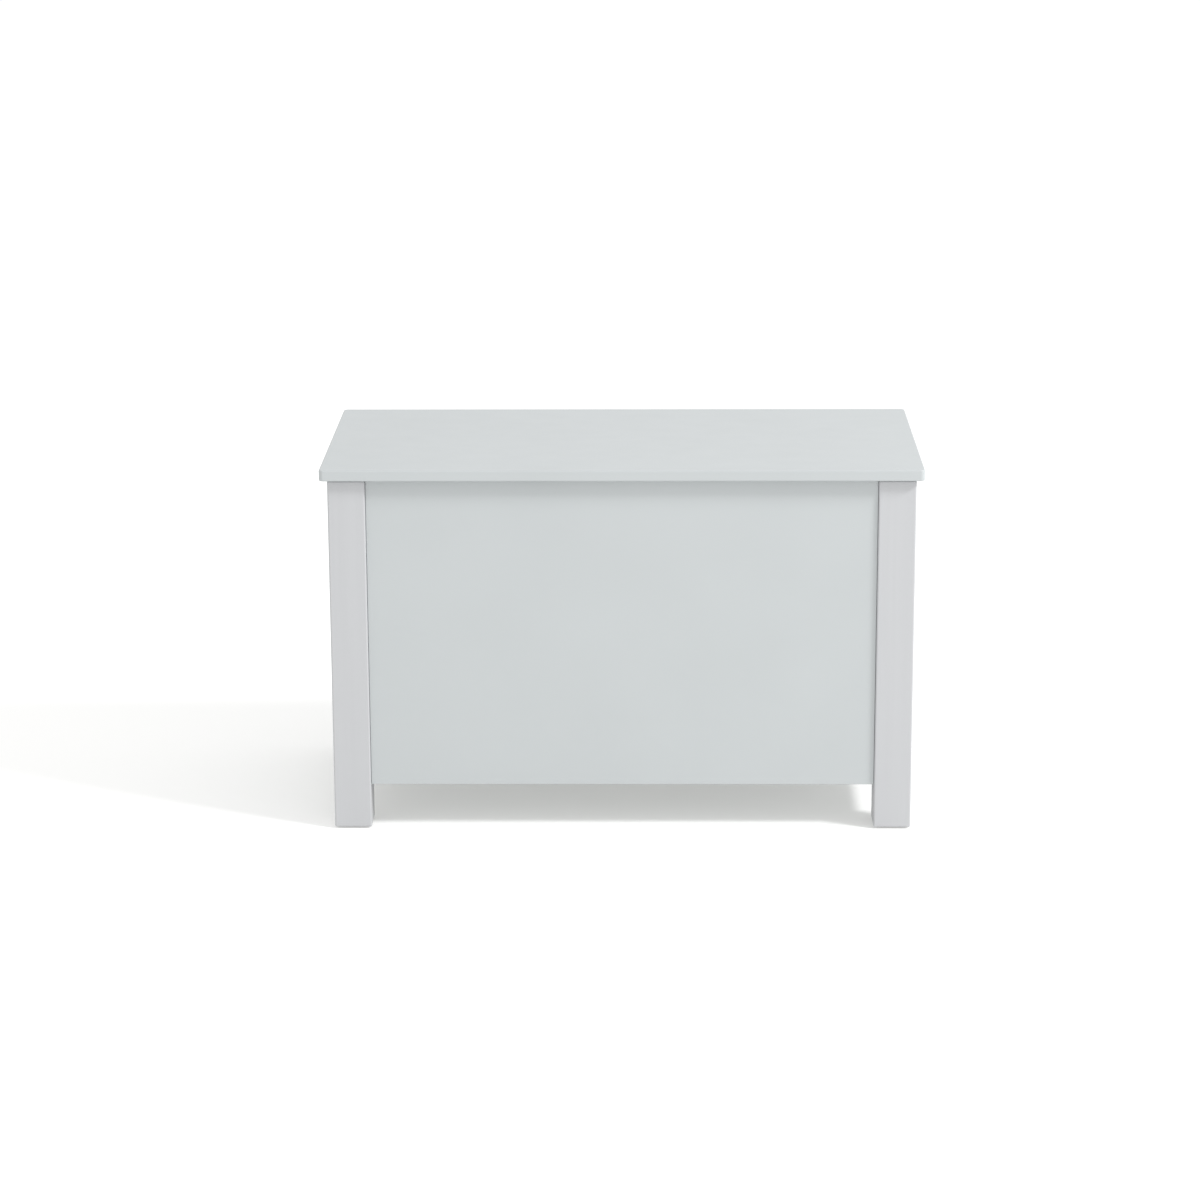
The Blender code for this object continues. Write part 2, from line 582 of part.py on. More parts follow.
def make_hinges(steel, lid_pivot):
    """Two butt hinges. The back leaf hangs down the back wall and the lid leaf lies forward under the lid."""
    outer = KNUCKLE_RADIUS - LEAF_THICKNESS  # axis to the face of a leaf that shows its screw heads
    for side, sign in SIDES:
        x = sign * HINGE_X
        axis = HINGE_AXIS + Vector((x, 0, 0))
        # The back leaf's local +Y points down and its local +Z forward, to the wall.
        make_leaf(f"{side}_hinge_back_leaf", 1, axis, None, (-math.pi / 2, 0, math.pi), steel)
        make_leaf(f"{side}_hinge_lid_leaf", 0, (x, 0, 0), lid_pivot, (0, 0, math.pi), steel)
        pin = rod_shape(HINGE_PIN_RADIUS, -HINGE_LENGTH / 2, HINGE_LENGTH / 2)
        part(f"{side}_hinge_pin", turned_to(pin, (0, 90, 0)), steel, axis)
        for which, spread in (("outer", sign), ("inner", -sign)):
            screw_x = x + spread * LEAF_SCREW_SPREAD
            at = (screw_x, HINGE_AXIS.y - outer, HINGE_AXIS.z - LEAF_SCREW_REACH)
            screw = part(f"{side}_hinge_back_{which}_screw", screw_shape(), steel, at)
            screw.rotation_euler = (math.radians(90), 0, 0)
            at = (screw_x, -LEAF_SCREW_REACH, outer)
            part(f"{side}_hinge_lid_{which}_screw", screw_shape(), steel, at, lid_pivot)


# ---- struts ------------------------------------------------------------------------------------
def bracket_screw_x():
    """How far out the screws of a lid bracket are from the middle of the box."""
    return STRUT_X + STUD_REACH - BRACKET_THICKNESS + BRACKET_WIDTH / 2


def ball_and_neck(root):
    """A ball at the origin on a neck that runs down -Z to root."""
    rings = 6
    start = math.acos(STUD_NECK_RADIUS / BALL_RADIUS)
    angles = [-start + (start + math.pi / 2) * i / rings for i in range(rings + 1)]
    arc = [(BALL_RADIUS * math.cos(a), BALL_RADIUS * math.sin(a)) for a in angles[:-1]]
    return [(STUD_NECK_RADIUS, root), *arc, (0, BALL_RADIUS)]


def make_leg_stud(name, sign, steel):
    """A ball stud screwed into the leg, pointing to the middle of the box."""
    face = -STUD_REACH
    profile = [
        (0, face - STUD_SHANK_LENGTH),
        (STUD_NECK_RADIUS, face - STUD_SHANK_LENGTH),
        (STUD_NECK_RADIUS, face + FIT_GAP),
        (STUD_FLANGE_RADIUS, face + FIT_GAP),
        (STUD_FLANGE_RADIUS, face + FIT_GAP + STUD_FLANGE_THICKNESS),
        *ball_and_neck(face + FIT_GAP + STUD_FLANGE_THICKNESS),
    ]
    stud = part(name, spun(profile, SMALL_STEPS), steel, (sign * STRUT_X, LEG_STUD.y, LEG_STUD.z))
    stud.rotation_euler = (0, math.radians(-90 * sign), 0)


def make_lid_bracket(name, sign, steel, lid_pivot):
    """An angle bracket under the lid, with its ball stud pointing to the middle of the box."""
    top = LID_UNDER_Z - FIT_GAP
    tab_x = STRUT_X + STUD_REACH - BRACKET_THICKNESS / 2
    at = Vector((sign * bracket_screw_x(), LID_STUD.y, top - BRACKET_THICKNESS / 2))
    size = (BRACKET_WIDTH, BRACKET_LENGTH, BRACKET_THICKNESS)
    bracket = part(name, block(size), steel, at - HINGE_AXIS, lid_pivot)
    drop = LID_STUD_DROP + SOCKET_RADIUS
    tab = block((BRACKET_THICKNESS, BRACKET_TAB, drop))
    combine(bracket, "UNION", name + "_tab", tab, Vector((sign * tab_x, at.y, top - drop / 2)) - at)
    profile = [(0, -STUD_REACH + BRACKET_THICKNESS / 2), *ball_and_neck(-STUD_REACH + BRACKET_THICKNESS / 2)]
    stud = turned_to(spun(profile, SMALL_STEPS), (0, -90 * sign, 0))
    combine(bracket, "UNION", name + "_stud", stud, Vector((sign * STRUT_X, at.y, LID_STUD.z)) - at)
    seats = [
        turned_to(screw_seat(), (0, 0, 0), (0, spread, -BRACKET_THICKNESS / 2))
        for spread in (-BRACKET_SCREW_SPREAD, BRACKET_SCREW_SPREAD)
    ]
    combine(bracket, "DIFFERENCE", name + "_screw_seats", gathered(seats))


def add_ball_socket(target, name, sign, stem_end):
    """Joins a ball socket and its stem to a piece that runs along local +Z, then bores it for the ball."""
    cup = rod_shape(SOCKET_RADIUS, -SOCKET_BACK, SOCKET_MOUTH, FINE_STEPS)
    combine(target, "UNION", name + "_cup", turned_to(cup, (0, 90 * sign, 0)))
    if stem_end:
        stem = rod_shape(SOCKET_STEM_RADIUS, SOCKET_RADIUS / 2, stem_end, FINE_STEPS)
        combine(target, "UNION", name + "_stem", stem)
    seat = BALL_RADIUS + FIT_GAP
    bore = rod_shape(seat, -seat, 2 * SOCKET_MOUTH, FINE_STEPS)
    combine(target, "DIFFERENCE", name + "_ball_bore", turned_to(bore, (0, 90 * sign, 0)))


def make_tube(name, sign, steel, leg_pivot):
    """The strut's tube: closed at its socket, hollow for the piston, and guiding the rod at its mouth."""
    inner = TUBE_RADIUS - TUBE_WALL
    guide = ROD_RADIUS + BORE_GAP
    profile = [
        (0, TUBE_START),
        (TUBE_RADIUS, TUBE_START),
        (TUBE_RADIUS, TUBE_END),
        (guide, TUBE_END),
        (guide, TUBE_END - TUBE_GUIDE_LENGTH),
        (inner, TUBE_END - TUBE_GUIDE_LENGTH),
        (inner, TUBE_START + TUBE_END_WALL),
        (0, TUBE_START + TUBE_END_WALL),
    ]
    tube = part(name, spun(profile, FINE_STEPS), steel, (0, 0, 0), leg_pivot)
    add_ball_socket(tube, name, sign, TUBE_START + TUBE_END_WALL / 2)


def make_rod(name, steel, rod_pivot):
    """The strut's rod with its piston. Local +Z runs from the lid's ball stud down to the leg's."""
    tip = STRUT_SHUT - ROD_TIP
    profile = [
        (0, ROD_THREAD_LENGTH),
        (ROD_RADIUS, ROD_THREAD_LENGTH),
        (ROD_RADIUS, tip - PISTON_LENGTH),
        (TUBE_RADIUS - TUBE_WALL - FIT_GAP, tip - PISTON_LENGTH),
        (TUBE_RADIUS - TUBE_WALL - FIT_GAP, tip),
        (0, tip),
    ]
    part(name, spun(profile, FINE_STEPS), steel, (0, 0, 0), rod_pivot)


def make_rod_socket(name, sign, nylon, rod_pivot):
    """The nylon end that screws onto the rod and snaps over the lid's ball stud."""
    stem = rod_shape(SOCKET_STEM_RADIUS, SOCKET_RADIUS / 2, ROD_STEM_END, FINE_STEPS)
    socket = part(name, stem, nylon, (0, 0, 0), rod_pivot)
    add_ball_socket(socket, name, sign, None)
    hole = rod_shape(ROD_RADIUS + BORE_GAP, ROD_THREAD_LENGTH - FIT_GAP, ROD_STEM_END + FIT_GAP)
    combine(socket, "DIFFERENCE", name + "_rod_hole", hole)


def make_struts(steel, black_steel, bright_steel, nylon, lid_pivot):
    """A strut at each end, between a stud on the rear leg and a bracket under the lid."""
    for side, sign in SIDES:
        make_leg_stud(f"{side}_leg_stud", sign, steel)
        make_lid_bracket(f"{side}_lid_bracket", sign, steel, lid_pivot)
        for which, spread in (("front", -BRACKET_SCREW_SPREAD), ("rear", BRACKET_SCREW_SPREAD)):
            underside = LID_UNDER_Z - FIT_GAP - BRACKET_THICKNESS
            at = Vector((sign * bracket_screw_x(), LID_STUD.y + spread, underside))
            part(f"{side}_bracket_{which}_screw", screw_shape(), steel, at - HINGE_AXIS, lid_pivot)
        foot = Vector((sign * STRUT_X, LEG_STUD.y, LEG_STUD.z))
        head = Vector((sign * STRUT_X, LID_STUD.y, LID_STUD.z))
        leg_pivot = pivot(f"{side}_tube_pivot", foot, (STRUT_TILT, 0, 0))
        rod_pivot = pivot(f"{side}_rod_pivot", head - HINGE_AXIS, (STRUT_TILT + math.pi, 0, 0))
        rod_pivot.parent = lid_pivot
        make_tube(f"{side}_strut_tube", sign, black_steel, leg_pivot)
        make_rod(f"{side}_strut_rod", bright_steel, rod_pivot)
        make_rod_socket(f"{side}_rod_socket", sign, nylon, rod_pivot)


def main():
    for old in list(bpy.data.objects):
        bpy.data.objects.remove(old)
    wood = finish("painted_board", (0.62, 0.65, 0.66), 0.45)
    leg_wood = finish("painted_leg", (0.62, 0.63, 0.65), 0.45)
    steel = finish("zinc_plated_steel", (0.60, 0.60, 0.61), 0.32, 1.0)
    zinc = finish("die_cast_zinc", (0.52, 0.52, 0.53), 0.45, 1.0)
    black_steel = finish("black_tube", (0.02, 0.02, 0.022), 0.35)
    bright_steel = finish("bright_rod", (0.68, 0.68, 0.69), 0.12, 1.0)
    nylon = finish("black_nylon", (0.03, 0.03, 0.032), 0.5)
    white_nylon = finish("white_nylon", (0.75, 0.75, 0.73), 0.5)
    rubber = finish("clear_rubber", (0.70, 0.70, 0.68), 0.4)

    lid_pivot = pivot("lid_pivot", HINGE_AXIS)
    make_legs(leg_wood, white_nylon, rubber)
    make_long_wall("front_wall", FRONT_WALL_Y, 1, wood)
    make_back_wall(wood)
    make_side_walls(wood)
    make_base(wood)
    make_lid(wood, lid_pivot)
    make_cams(zinc, steel)
    make_hinges(steel, lid_pivot)
    make_struts(steel, black_steel, bright_steel, nylon, lid_pivot)


main()
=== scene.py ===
"""Looks for a painted wooden toy box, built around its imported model."""

import json
import math

import bpy
import numpy as np
from bpy.props import FloatProperty, FloatVectorProperty, IntProperty, PointerProperty
from mathutils import Matrix, Vector
from mathutils.geometry import delaunay_2d_cdt

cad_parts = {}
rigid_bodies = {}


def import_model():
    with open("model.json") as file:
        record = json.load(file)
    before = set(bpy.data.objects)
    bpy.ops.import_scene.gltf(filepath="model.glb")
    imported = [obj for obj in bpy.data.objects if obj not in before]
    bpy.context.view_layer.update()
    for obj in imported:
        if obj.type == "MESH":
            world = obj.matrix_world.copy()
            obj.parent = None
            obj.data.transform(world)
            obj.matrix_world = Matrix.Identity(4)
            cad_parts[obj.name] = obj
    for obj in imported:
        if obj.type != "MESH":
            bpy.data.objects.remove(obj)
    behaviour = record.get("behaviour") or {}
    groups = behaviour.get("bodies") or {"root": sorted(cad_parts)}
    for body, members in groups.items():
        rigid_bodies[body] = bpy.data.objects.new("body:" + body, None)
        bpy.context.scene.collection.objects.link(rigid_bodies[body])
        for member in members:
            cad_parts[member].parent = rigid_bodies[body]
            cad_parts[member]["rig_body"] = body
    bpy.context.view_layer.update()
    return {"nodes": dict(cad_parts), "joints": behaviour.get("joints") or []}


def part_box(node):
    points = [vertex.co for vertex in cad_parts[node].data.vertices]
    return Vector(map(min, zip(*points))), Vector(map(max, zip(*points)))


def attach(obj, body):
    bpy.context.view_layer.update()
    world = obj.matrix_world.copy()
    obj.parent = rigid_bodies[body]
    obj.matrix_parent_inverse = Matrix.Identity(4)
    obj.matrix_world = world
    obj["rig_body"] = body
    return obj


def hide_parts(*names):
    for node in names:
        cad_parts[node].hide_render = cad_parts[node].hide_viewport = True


bl_info = {
    "name": "Painted Toy Box",
    "version": (1, 0, 0),
    "blender": (4, 5, 0),
    "location": "3D View > Sidebar > Toy Box",
    "description": "Makes the finished surfaces of a wooden toy box with a lid on struts",
    "category": "Object",
}

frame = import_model()

MM = 0.001
SIDES = (("left", -1), ("right", 1))
LEVELS = ("lower", "upper")
X, Y, Z = Vector((1, 0, 0)), Vector((0, 1, 0)), Vector((0, 0, 1))
LONG_WALLS = (("front", Y), ("back", -Y))  # with the way that faces the inside of the box
LEGS = [f"{end}_{side}_leg" for end in ("front", "rear") for side, _ in SIDES]
JOINTS = {joint["name"]: Vector(joint["pos_m"]) for joint in frame["joints"]}


def linear(hex_colour):
    """A linear RGB colour from an sRGB hex value such as "#D3D7D8"."""
    srgb = np.array([int(hex_colour[i : i + 2], 16) for i in (1, 3, 5)]) / 255
    return tuple(np.where(srgb <= 0.04045, srgb / 12.92, ((srgb + 0.055) / 1.055) ** 2.4).tolist())


def length(name, description, default_mm):
    """A length that the user can change, with its default in millimetres."""
    return FloatProperty(name=name, description=description, default=default_mm * MM, min=0, unit="LENGTH")


def amount(name, description, default, most=10000.0):
    """A plain number that the user can change."""
    return FloatProperty(name=name, description=description, default=default, min=0, max=most)


def colour(name, description, hex_colour):
    """A colour that the user can change, with its default as an sRGB hex value."""
    return FloatVectorProperty(
        name=name, description=description, default=linear(hex_colour), size=3, min=0, max=1, subtype="COLOR"
    )


# ---- what a user can change --------------------------------------------------------------------
class BoardSizes(bpy.types.PropertyGroup):
    lid_corner: length("Lid corner", "Radius of the lid's four corners, seen from above", 6.0)
    lid_edge: length("Lid edge", "Radius of the rounding along the lid's top and bottom edges", 1.8)
    wall_edge: length("Wall edge", "Radius of the rounding round each wall", 0.6)
    leg_edge: length("Leg edge", "Radius of the rounding along the legs and round their feet", 2.2)
    leg_top: length("Leg top", "Radius of the rounding round the top of each leg", 1.6)
    groove_side: length("Groove gap", "Gap between the base and each side of its groove", 0.3)
    groove_depth: length("Groove depth", "How deep the base is let into the walls", 5.0)
    notch_gap: length("Notch gap", "Gap between the base and each leg", 2.0)
    vent_length: length("Vent length", "Length of each air vent", 80.0)
    vent_height: length("Vent height", "Height of each air vent", 16.0)
    vent_place: length("Vent place", "Middle of the box to the middle of a vent", 100.0)
    vent_drop: length("Vent drop", "Top of the wall to the middle of a vent", 55.0)


class FittingSizes(bpy.types.PropertyGroup):
    leaf: length("Leaf thickness", "Thickness of the hinge leaves", 1.2)
    leaf_width: length("Leaf width", "Hinge axis to the far edge of a leaf", 28.0)
    hinge_length: length("Hinge length", "Length of each hinge", 60.0)
    knuckles: IntProperty(name="Knuckles", description="Knuckles on each hinge", default=5, min=3)
    knuckle_gap: length("Knuckle gap", "Gap between two knuckles", 0.4)
    screw_head: length("Screw head", "Radius of a screw's head", 2.6)
    screw_shank: length("Screw shank", "Radius of a screw's shank", 1.5)
    screw_length: length("Screw length", "Length of a screw", 12.0)
    ball: length("Ball", "Radius of a strut's ball stud", 4.0)
    stud_reach: length("Stud reach", "Ball to the far face of the lid bracket's tab", 13.0)
    cup: length("Cup", "Radius of a strut's ball socket", 7.0)
    tube: length("Tube", "Radius of a strut's tube", 7.5)
    rod: length("Rod", "Radius of a strut's rod", 3.0)
    tube_start: length("Tube start", "Ball to the closed end of the tube", 20.0)
    stem_end: length("Stem end", "Ball to the end of the socket on the rod", 22.0)
    rest_gap: length("Rest gap", "Tube to the rod's socket with the lid shut", 2.0)


class PaintColours(bpy.types.PropertyGroup):
    board: colour("Board", "Satin paint on the lid, walls and base", "#A9ADAE")
    leg: colour("Leg", "Satin paint on the legs", "#ABACAE")
    zinc: colour("Zinc plate", "Bright zinc plate on hinges, brackets and screws", "#B2B4B4")
    zinc_straw: colour("Straw tinge", "Warm patches in the zinc plate", "#B7B4AB")
    zinc_blue: colour("Blue tinge", "Cool patches in the zinc plate", "#A9AFB5")
    die_cast: colour("Die-cast zinc", "Cam locks", "#A9ABAD")
    steel: colour("Bright steel", "Strut rods", "#CFD1D3")
    black: colour("Black paint", "Strut tubes", "#1B1B1D")
    nylon: colour("Black nylon", "Strut sockets", "#222224")
    glide: colour("White nylon", "Floor glides", "#E4E3DD")
    silicone: colour("Silicone", "Lid bumpers", "#CDCFCC")


class StudioSettings(bpy.types.PropertyGroup):
    sky: amount("Surround", "Strength of the white surround", 1.0)
    key: amount("Key light", "Power of the soft light at the right", 530.0)
    key_width: length("Key width", "Width of the key light", 1700.0)
    key_height: length("Key height", "Height of the key light", 900.0)
    fill: amount("Fill light", "Power of the low light at the front", 52.0)
    fill_size: length("Fill size", "Side of the fill light", 2400.0)
    light_distance: length("Light distance", "Middle of the box to each light", 8000.0)
    glow: amount("Floor glow", "Light that the floor gives off itself", 0.29)
    glow_colour: colour("Glow colour", "Colour of the light that the floor gives off", "#FFFFFB")
    floor_white: amount("Floor white", "How white the floor is", 0.71, most=1)
    floor: length("Floor", "Half the side of the floor", 25000.0)


class ToyBoxSettings(bpy.types.PropertyGroup):
    boards: PointerProperty(type=BoardSizes)
    fittings: PointerProperty(type=FittingSizes)
    paints: PointerProperty(type=PaintColours)
    studio: PointerProperty(type=StudioSettings)


# ---- surfaces ----------------------------------------------------------------------------------
def right_of(headings):
    """Each heading turned a quarter clockwise."""
    return np.stack([headings[..., 1], -headings[..., 0]], -1)


def path(corners, closed=False, steps=6):
    """A flat path through corners of (x, y) or (x, y, radius). A radius turns its corner into the arc that
    touches both sides: the heading turns evenly from one side's to the other's while the point goes round
    the arc's centre. Returns the points, and the heading with which the path leaves each point and arrives
    at the next."""
    spots = np.array([corner[:2] for corner in corners], float)
    ahead = np.roll(spots, -1, 0) - spots
    ahead /= np.linalg.norm(ahead, axis=1)[:, None]
    points, arrive, leave = [], [], []
    for i, corner in enumerate(corners):
        into, out = ahead[i - 1], ahead[i]
        if not closed and i == 0:
            into = out
        if not closed and i == len(corners) - 1:
            out = into
        if len(corner) == 2:
            points.append(spots[i : i + 1])
            arrive.append(into[None])
            leave.append(out[None])
            continue
        turn = math.atan2(into[0] * out[1] - into[1] * out[0], into @ out)
        angles = np.linspace(0, turn, steps + 1)[:, None]
        heading = into * np.cos(angles) + np.array([-into[1], into[0]]) * np.sin(angles)
        reach = corner[2] * math.tan(abs(turn) / 2)
        radial = right_of(heading) * corner[2] * math.copysign(1, turn)
        points.append(spots[i] - into * reach + radial - radial[0])
        arrive.append(heading)
        leave.append(heading)
    points, arrive, leave = (np.concatenate(rows) for rows in (points, arrive, leave))
    ahead = np.roll(points, -1, 0) - points
    moves = np.hypot(*ahead.T) > 1e-7
    if not closed:
        moves[-1] = True
    # Where two arcs meet, two points coincide and one is left out: the path arrives with the heading of the
    # first and leaves with that of the last.
    keep = np.flatnonzero(moves)
    first = np.roll(keep, 1) + 1 if closed else np.concatenate([[0], keep[:-1] + 1])
    arrive = arrive[first % len(points)]
    if closed:
        return points[keep], leave[keep], np.roll(arrive, -1, 0)
    return points[keep], leave[keep][:-1], arrive[1:]


def outline(corners, steps=6):
    """A closed outline, anticlockwise, as its points and the outward direction at each of them."""
    points, leave, _ = path(corners, True, steps)
    return points, right_of(leave)


def circle(radius=0.0, middle=(0, 0), steps=48, phase=0.0):
    """A round outline: points at even angles round the middle, each facing away from it."""
    angles = phase + np.arange(steps) * math.tau / steps
    out = np.stack([np.cos(angles), np.sin(angles)], 1)
    return np.array(middle) + radius * out, out


def oblong(width, height, radius, middle=(0, 0), steps=6):
    """A rectangle with rounded corners."""
    (x, y), a, b = middle, width / 2, height / 2
    corners = ((x - a, y - b), (x + a, y - b), (x + a, y + b), (x - a, y + b))
    return outline([(*corner, radius) for corner in corners], steps)


def section(*corners, steps=5):
    """What is carried round an outline, from the front face to the back. Each corner is its distance
    outside the outline, its height, and a radius if it is rounded. The surface faces to the left of the
    section's heading."""
    points, leave, arrive = path(corners, False, steps)
    return points, -right_of(leave), -right_of(arrive)


def eased(thickness, front, back=None, out=0.0, steps=5):
    """The section of a plate with rounded edges, whose front face is at height 0."""
    back = front if back is None else back
    return section(
        (out - front, 0), (out, 0, front), (out, -thickness, back), (out - back, -thickness), steps=steps
    )


def sunk(depth, edge, steps=5):
    """The section of a blind hole with a rounded rim."""
    return section((-edge, 0), (0, 0, edge), (0, -depth), steps=steps)


def placed(origin, z, y=Z):
    """The matrix that puts a shape's origin there, its front towards z and its top towards y."""
    z = Vector(z).normalized()
    y = (Vector(y) - z * z.dot(y)).normalized()
    x = y.cross(z)
    return Matrix([(*row, at) for row, at in zip(zip(x, y, z), origin)]).to_4x4()


class Shell:
    """Closed surfaces gathered wall by wall. It keeps the surface's true direction at every corner of every
    face, so that flat faces stay flat and roundings run into them with no crease."""

    def __init__(self):
        self.points, self.faces, self.facing, self.count = [], [], [], 0
        self.place = Matrix.Identity(4)

    def at(self, place):
        """Places what is added next."""
        self.place = place
        return self

    def _points(self, local):
        turn = np.array(self.place)
        self.points.append(local @ turn[:3, :3].T + turn[:3, 3])
        self.count += len(local)
        return np.arange(self.count - len(local), self.count)

    def _faces(self, index, facing):
        self.faces += index.tolist()
        self.facing.append(facing.reshape(-1, 3) @ np.array(self.place)[:3, :3].T)

    def wall(self, line, cut, hole=False):
        """Carries a section round an outline: each point is the outline's point moved out along the
        outline's own direction by the section's first number, and up by its second. Round a hole, out is
        into the hole. Returns the first and last rings."""
        at, out = line
        if hole:
            at, out = at[::-1], -out[::-1]
        steps, leave, arrive = cut
        flat = at + out * steps[:, None, :1]
        high = np.broadcast_to(steps[:, None, 1:], (*flat.shape[:2], 1))
        ring = self._points(np.concatenate([flat, high], 2).reshape(-1, 3)).reshape(len(steps), len(at))

        def lean(direction):
            side = out * direction[:, None, :1]
            return np.concatenate([side, np.broadcast_to(direction[:, None, 1:], (*side.shape[:2], 1))], 2)

        beside = np.roll(ring, -1, 1)
        top, bottom = lean(leave), lean(arrive)
        quads = np.stack([ring[:-1], ring[1:], beside[1:], beside[:-1]], 2)
        facing = np.stack([top, bottom, np.roll(bottom, -1, 1), np.roll(top, -1, 1)], 2)
        self._faces(quads.reshape(-1, 4), facing)
        return ring[0], ring[-1]

    def cover(self, rings, up=True):
        """A flat face inside the first ring and outside the others, facing along the shape's z or, if not
        up, back. It is made of the triangles of a Delaunay net on the rings whose middles are inside an odd
        number of rings."""
        index = np.concatenate(rings)
        back = np.array(self.place.inverted())
        spots = (np.concatenate(self.points)[index] @ back[:3, :3].T + back[:3, 3])[:, :2] / MM
        starts = np.cumsum([0, *map(len, rings)])
        after = np.concatenate([np.roll(np.arange(a, b), -1) for a, b in zip(starts, starts[1:])])
        edges = list(enumerate(after.tolist()))
        _, _, net, sources, _, _ = delaunay_2d_cdt([Vector(spot) for spot in spots], edges, [], 1, 1e-6)
        thirds = np.array([[sources[corner][0] for corner in third] for third in net])
        middles = spots[thirds].mean(1)[:, None]
        x, y = spots.T
        rise = np.where(y[after] == y, 1, y[after] - y)
        meets = x + (middles[..., 1] - y) / rise * (x[after] - x)
        spans = (y > middles[..., 1]) != (y[after] > middles[..., 1])
        thirds = thirds[(spans & (meets > middles[..., 0])).sum(1) % 2 == 1]
        sides = spots[thirds[:, 1:]] - spots[thirds[:, :1]]
        area = (sides[:, 0, 0] * sides[:, 1, 1] - sides[:, 0, 1] * sides[:, 1, 0]) / 2
        wanted = (x * y[after] - y * x[after]) / 2
        wanted = [abs(wanted[a:b].sum()) for a, b in zip(starts, starts[1:])]
        if not math.isclose(np.abs(area).sum(), 2 * wanted[0] - sum(wanted), rel_tol=1e-4):
            raise ValueError("a flat face isn't covered")
        thirds[(area > 0) != up] = thirds[(area > 0) != up][:, ::-1]
        self._faces(index[thirds], np.tile([0, 0, 1.0 if up else -1.0], (3 * len(thirds), 1)))

    def plate(self, line, cut, through=(), blind=()):
        """A solid from an outline and its section, with through and blind holes, each an outline and a
        section."""
        front, back = self.wall(line, cut)
        fronts, backs = [front], [back]
        for hole, hole_cut in through:
            first, last = self.wall(hole, hole_cut, hole=True)
            fronts.append(first)
            backs.append(last)
        for hole, hole_cut in blind:
            first, last = self.wall(hole, hole_cut, hole=True)
            fronts.append(first)
            self.cover([last])
        self.cover(fronts)
        self.cover(backs, up=False)
        return self

    def ball(self, radius, rings=20, steps=32):
        """A sphere: the distance from the axis is the sine and the height the cosine of an angle that runs
        evenly from pole to pole, with a speck of a flat face closing each pole."""
        speck = 0.01
        angles = np.linspace(speck, math.pi - speck, rings)
        points = radius * np.stack([np.sin(angles), np.cos(angles)], 1)
        facing = points / radius
        return self.plate(circle(steps=steps), (points, facing[:-1], facing[1:]))

    def wire(self, line, across, radius, sides=12):
        """A round wire along a flat line of points, whose plane faces across: a circle in each point's own
        plane, carried along the line. Flat faces close its ends."""
        along = np.gradient(line, axis=0)
        along /= np.linalg.norm(along, axis=1)[:, None]
        across = np.broadcast_to(np.array(across, float), line.shape)
        side = np.cross(along, across)
        angles = np.arange(sides) * math.tau / sides
        out = side[:, None] * np.cos(angles)[:, None] - across[:, None] * np.sin(angles)[:, None]
        ring = self._points((line[:, None] + radius * out).reshape(-1, 3)).reshape(len(line), sides)
        beside = np.roll(ring, -1, 1)
        quads = np.stack([ring[:-1], beside[:-1], beside[1:], ring[1:]], 2).reshape(-1, 4)
        turned = np.roll(out, -1, 1)
        self._faces(quads, np.stack([out[:-1], turned[:-1], turned[1:], out[1:]], 2))
        self._faces(ring[0][None, ::-1], np.tile(-along[0], (sides, 1)))
        self._faces(ring[-1][None], np.tile(along[-1], (sides, 1)))
        return self

    def mesh(self, name):
        """The mesh, with its directions set at every corner."""
        made = bpy.data.meshes.new(name)
        made.from_pydata(np.concatenate(self.points).tolist(), [], self.faces)
        made.shade_smooth()
        facing = np.concatenate(self.facing)
        made.normals_split_custom_set((facing / np.linalg.norm(facing, axis=1)[:, None]).tolist())
        return made


def make_piece(name, shell, maker, node, slot=None):
    """An object at the origin that rides on a CAD node's body. It stands for that node and hides it, unless a
    slot name is given: then it is only a part of what is there, and the node stays shown."""
    made = bpy.data.objects.new(name, shell.mesh(name))
    bpy.context.scene.collection.objects.link(made)
    made.data.materials.append(finish(maker))
    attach(made, frame["nodes"][node]["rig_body"])
    if not slot:
        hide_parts(node)


def middle_of(node):
    """The middle of a CAD node's box."""
    low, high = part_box(node)
    return (low + high) / 2


def size_of(node):
    """The size of a CAD node's box along X, Y and Z."""
    low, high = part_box(node)
    return high - low


def face_of(node, towards, up=Z):
    """The place at the middle of the face of a CAD node's box that looks that way."""
    return placed(middle_of(node) + towards * abs(size_of(node).dot(towards)) / 2, towards, up)


def seen_from(place, node):
    """Where the middle of a CAD node's box is, in the flat coordinates of a place."""
    return (place.inverted() @ middle_of(node)).xy


# ---- materials ---------------------------------------------------------------------------------
PER_MM = 1000  # a noise Scale of PER_MM / 5 draws lumps about 5 mm across


def add(tree, kind, values=None, links=None, **settings):
    """Adds a node with its settings, the values of its inputs, and the links into them from (node,
    output)."""
    made = tree.nodes.new(kind)
    for name, value in settings.items():
        setattr(made, name, value)
    for socket, value in (values or {}).items():
        made.inputs[socket].default_value = value
    for socket, (source, output) in (links or {}).items():
        tree.links.new(source.outputs[output], made.inputs[socket])
    return made


def new_finish(name):
    """An empty material's tree, and the link that gives a texture each piece's own coordinates."""
    material = bpy.data.materials.new(name)
    material.use_nodes = True
    material.node_tree.nodes.clear()
    return material.node_tree, {"Vector": (add(material.node_tree, "ShaderNodeTexCoord"), "Object")}


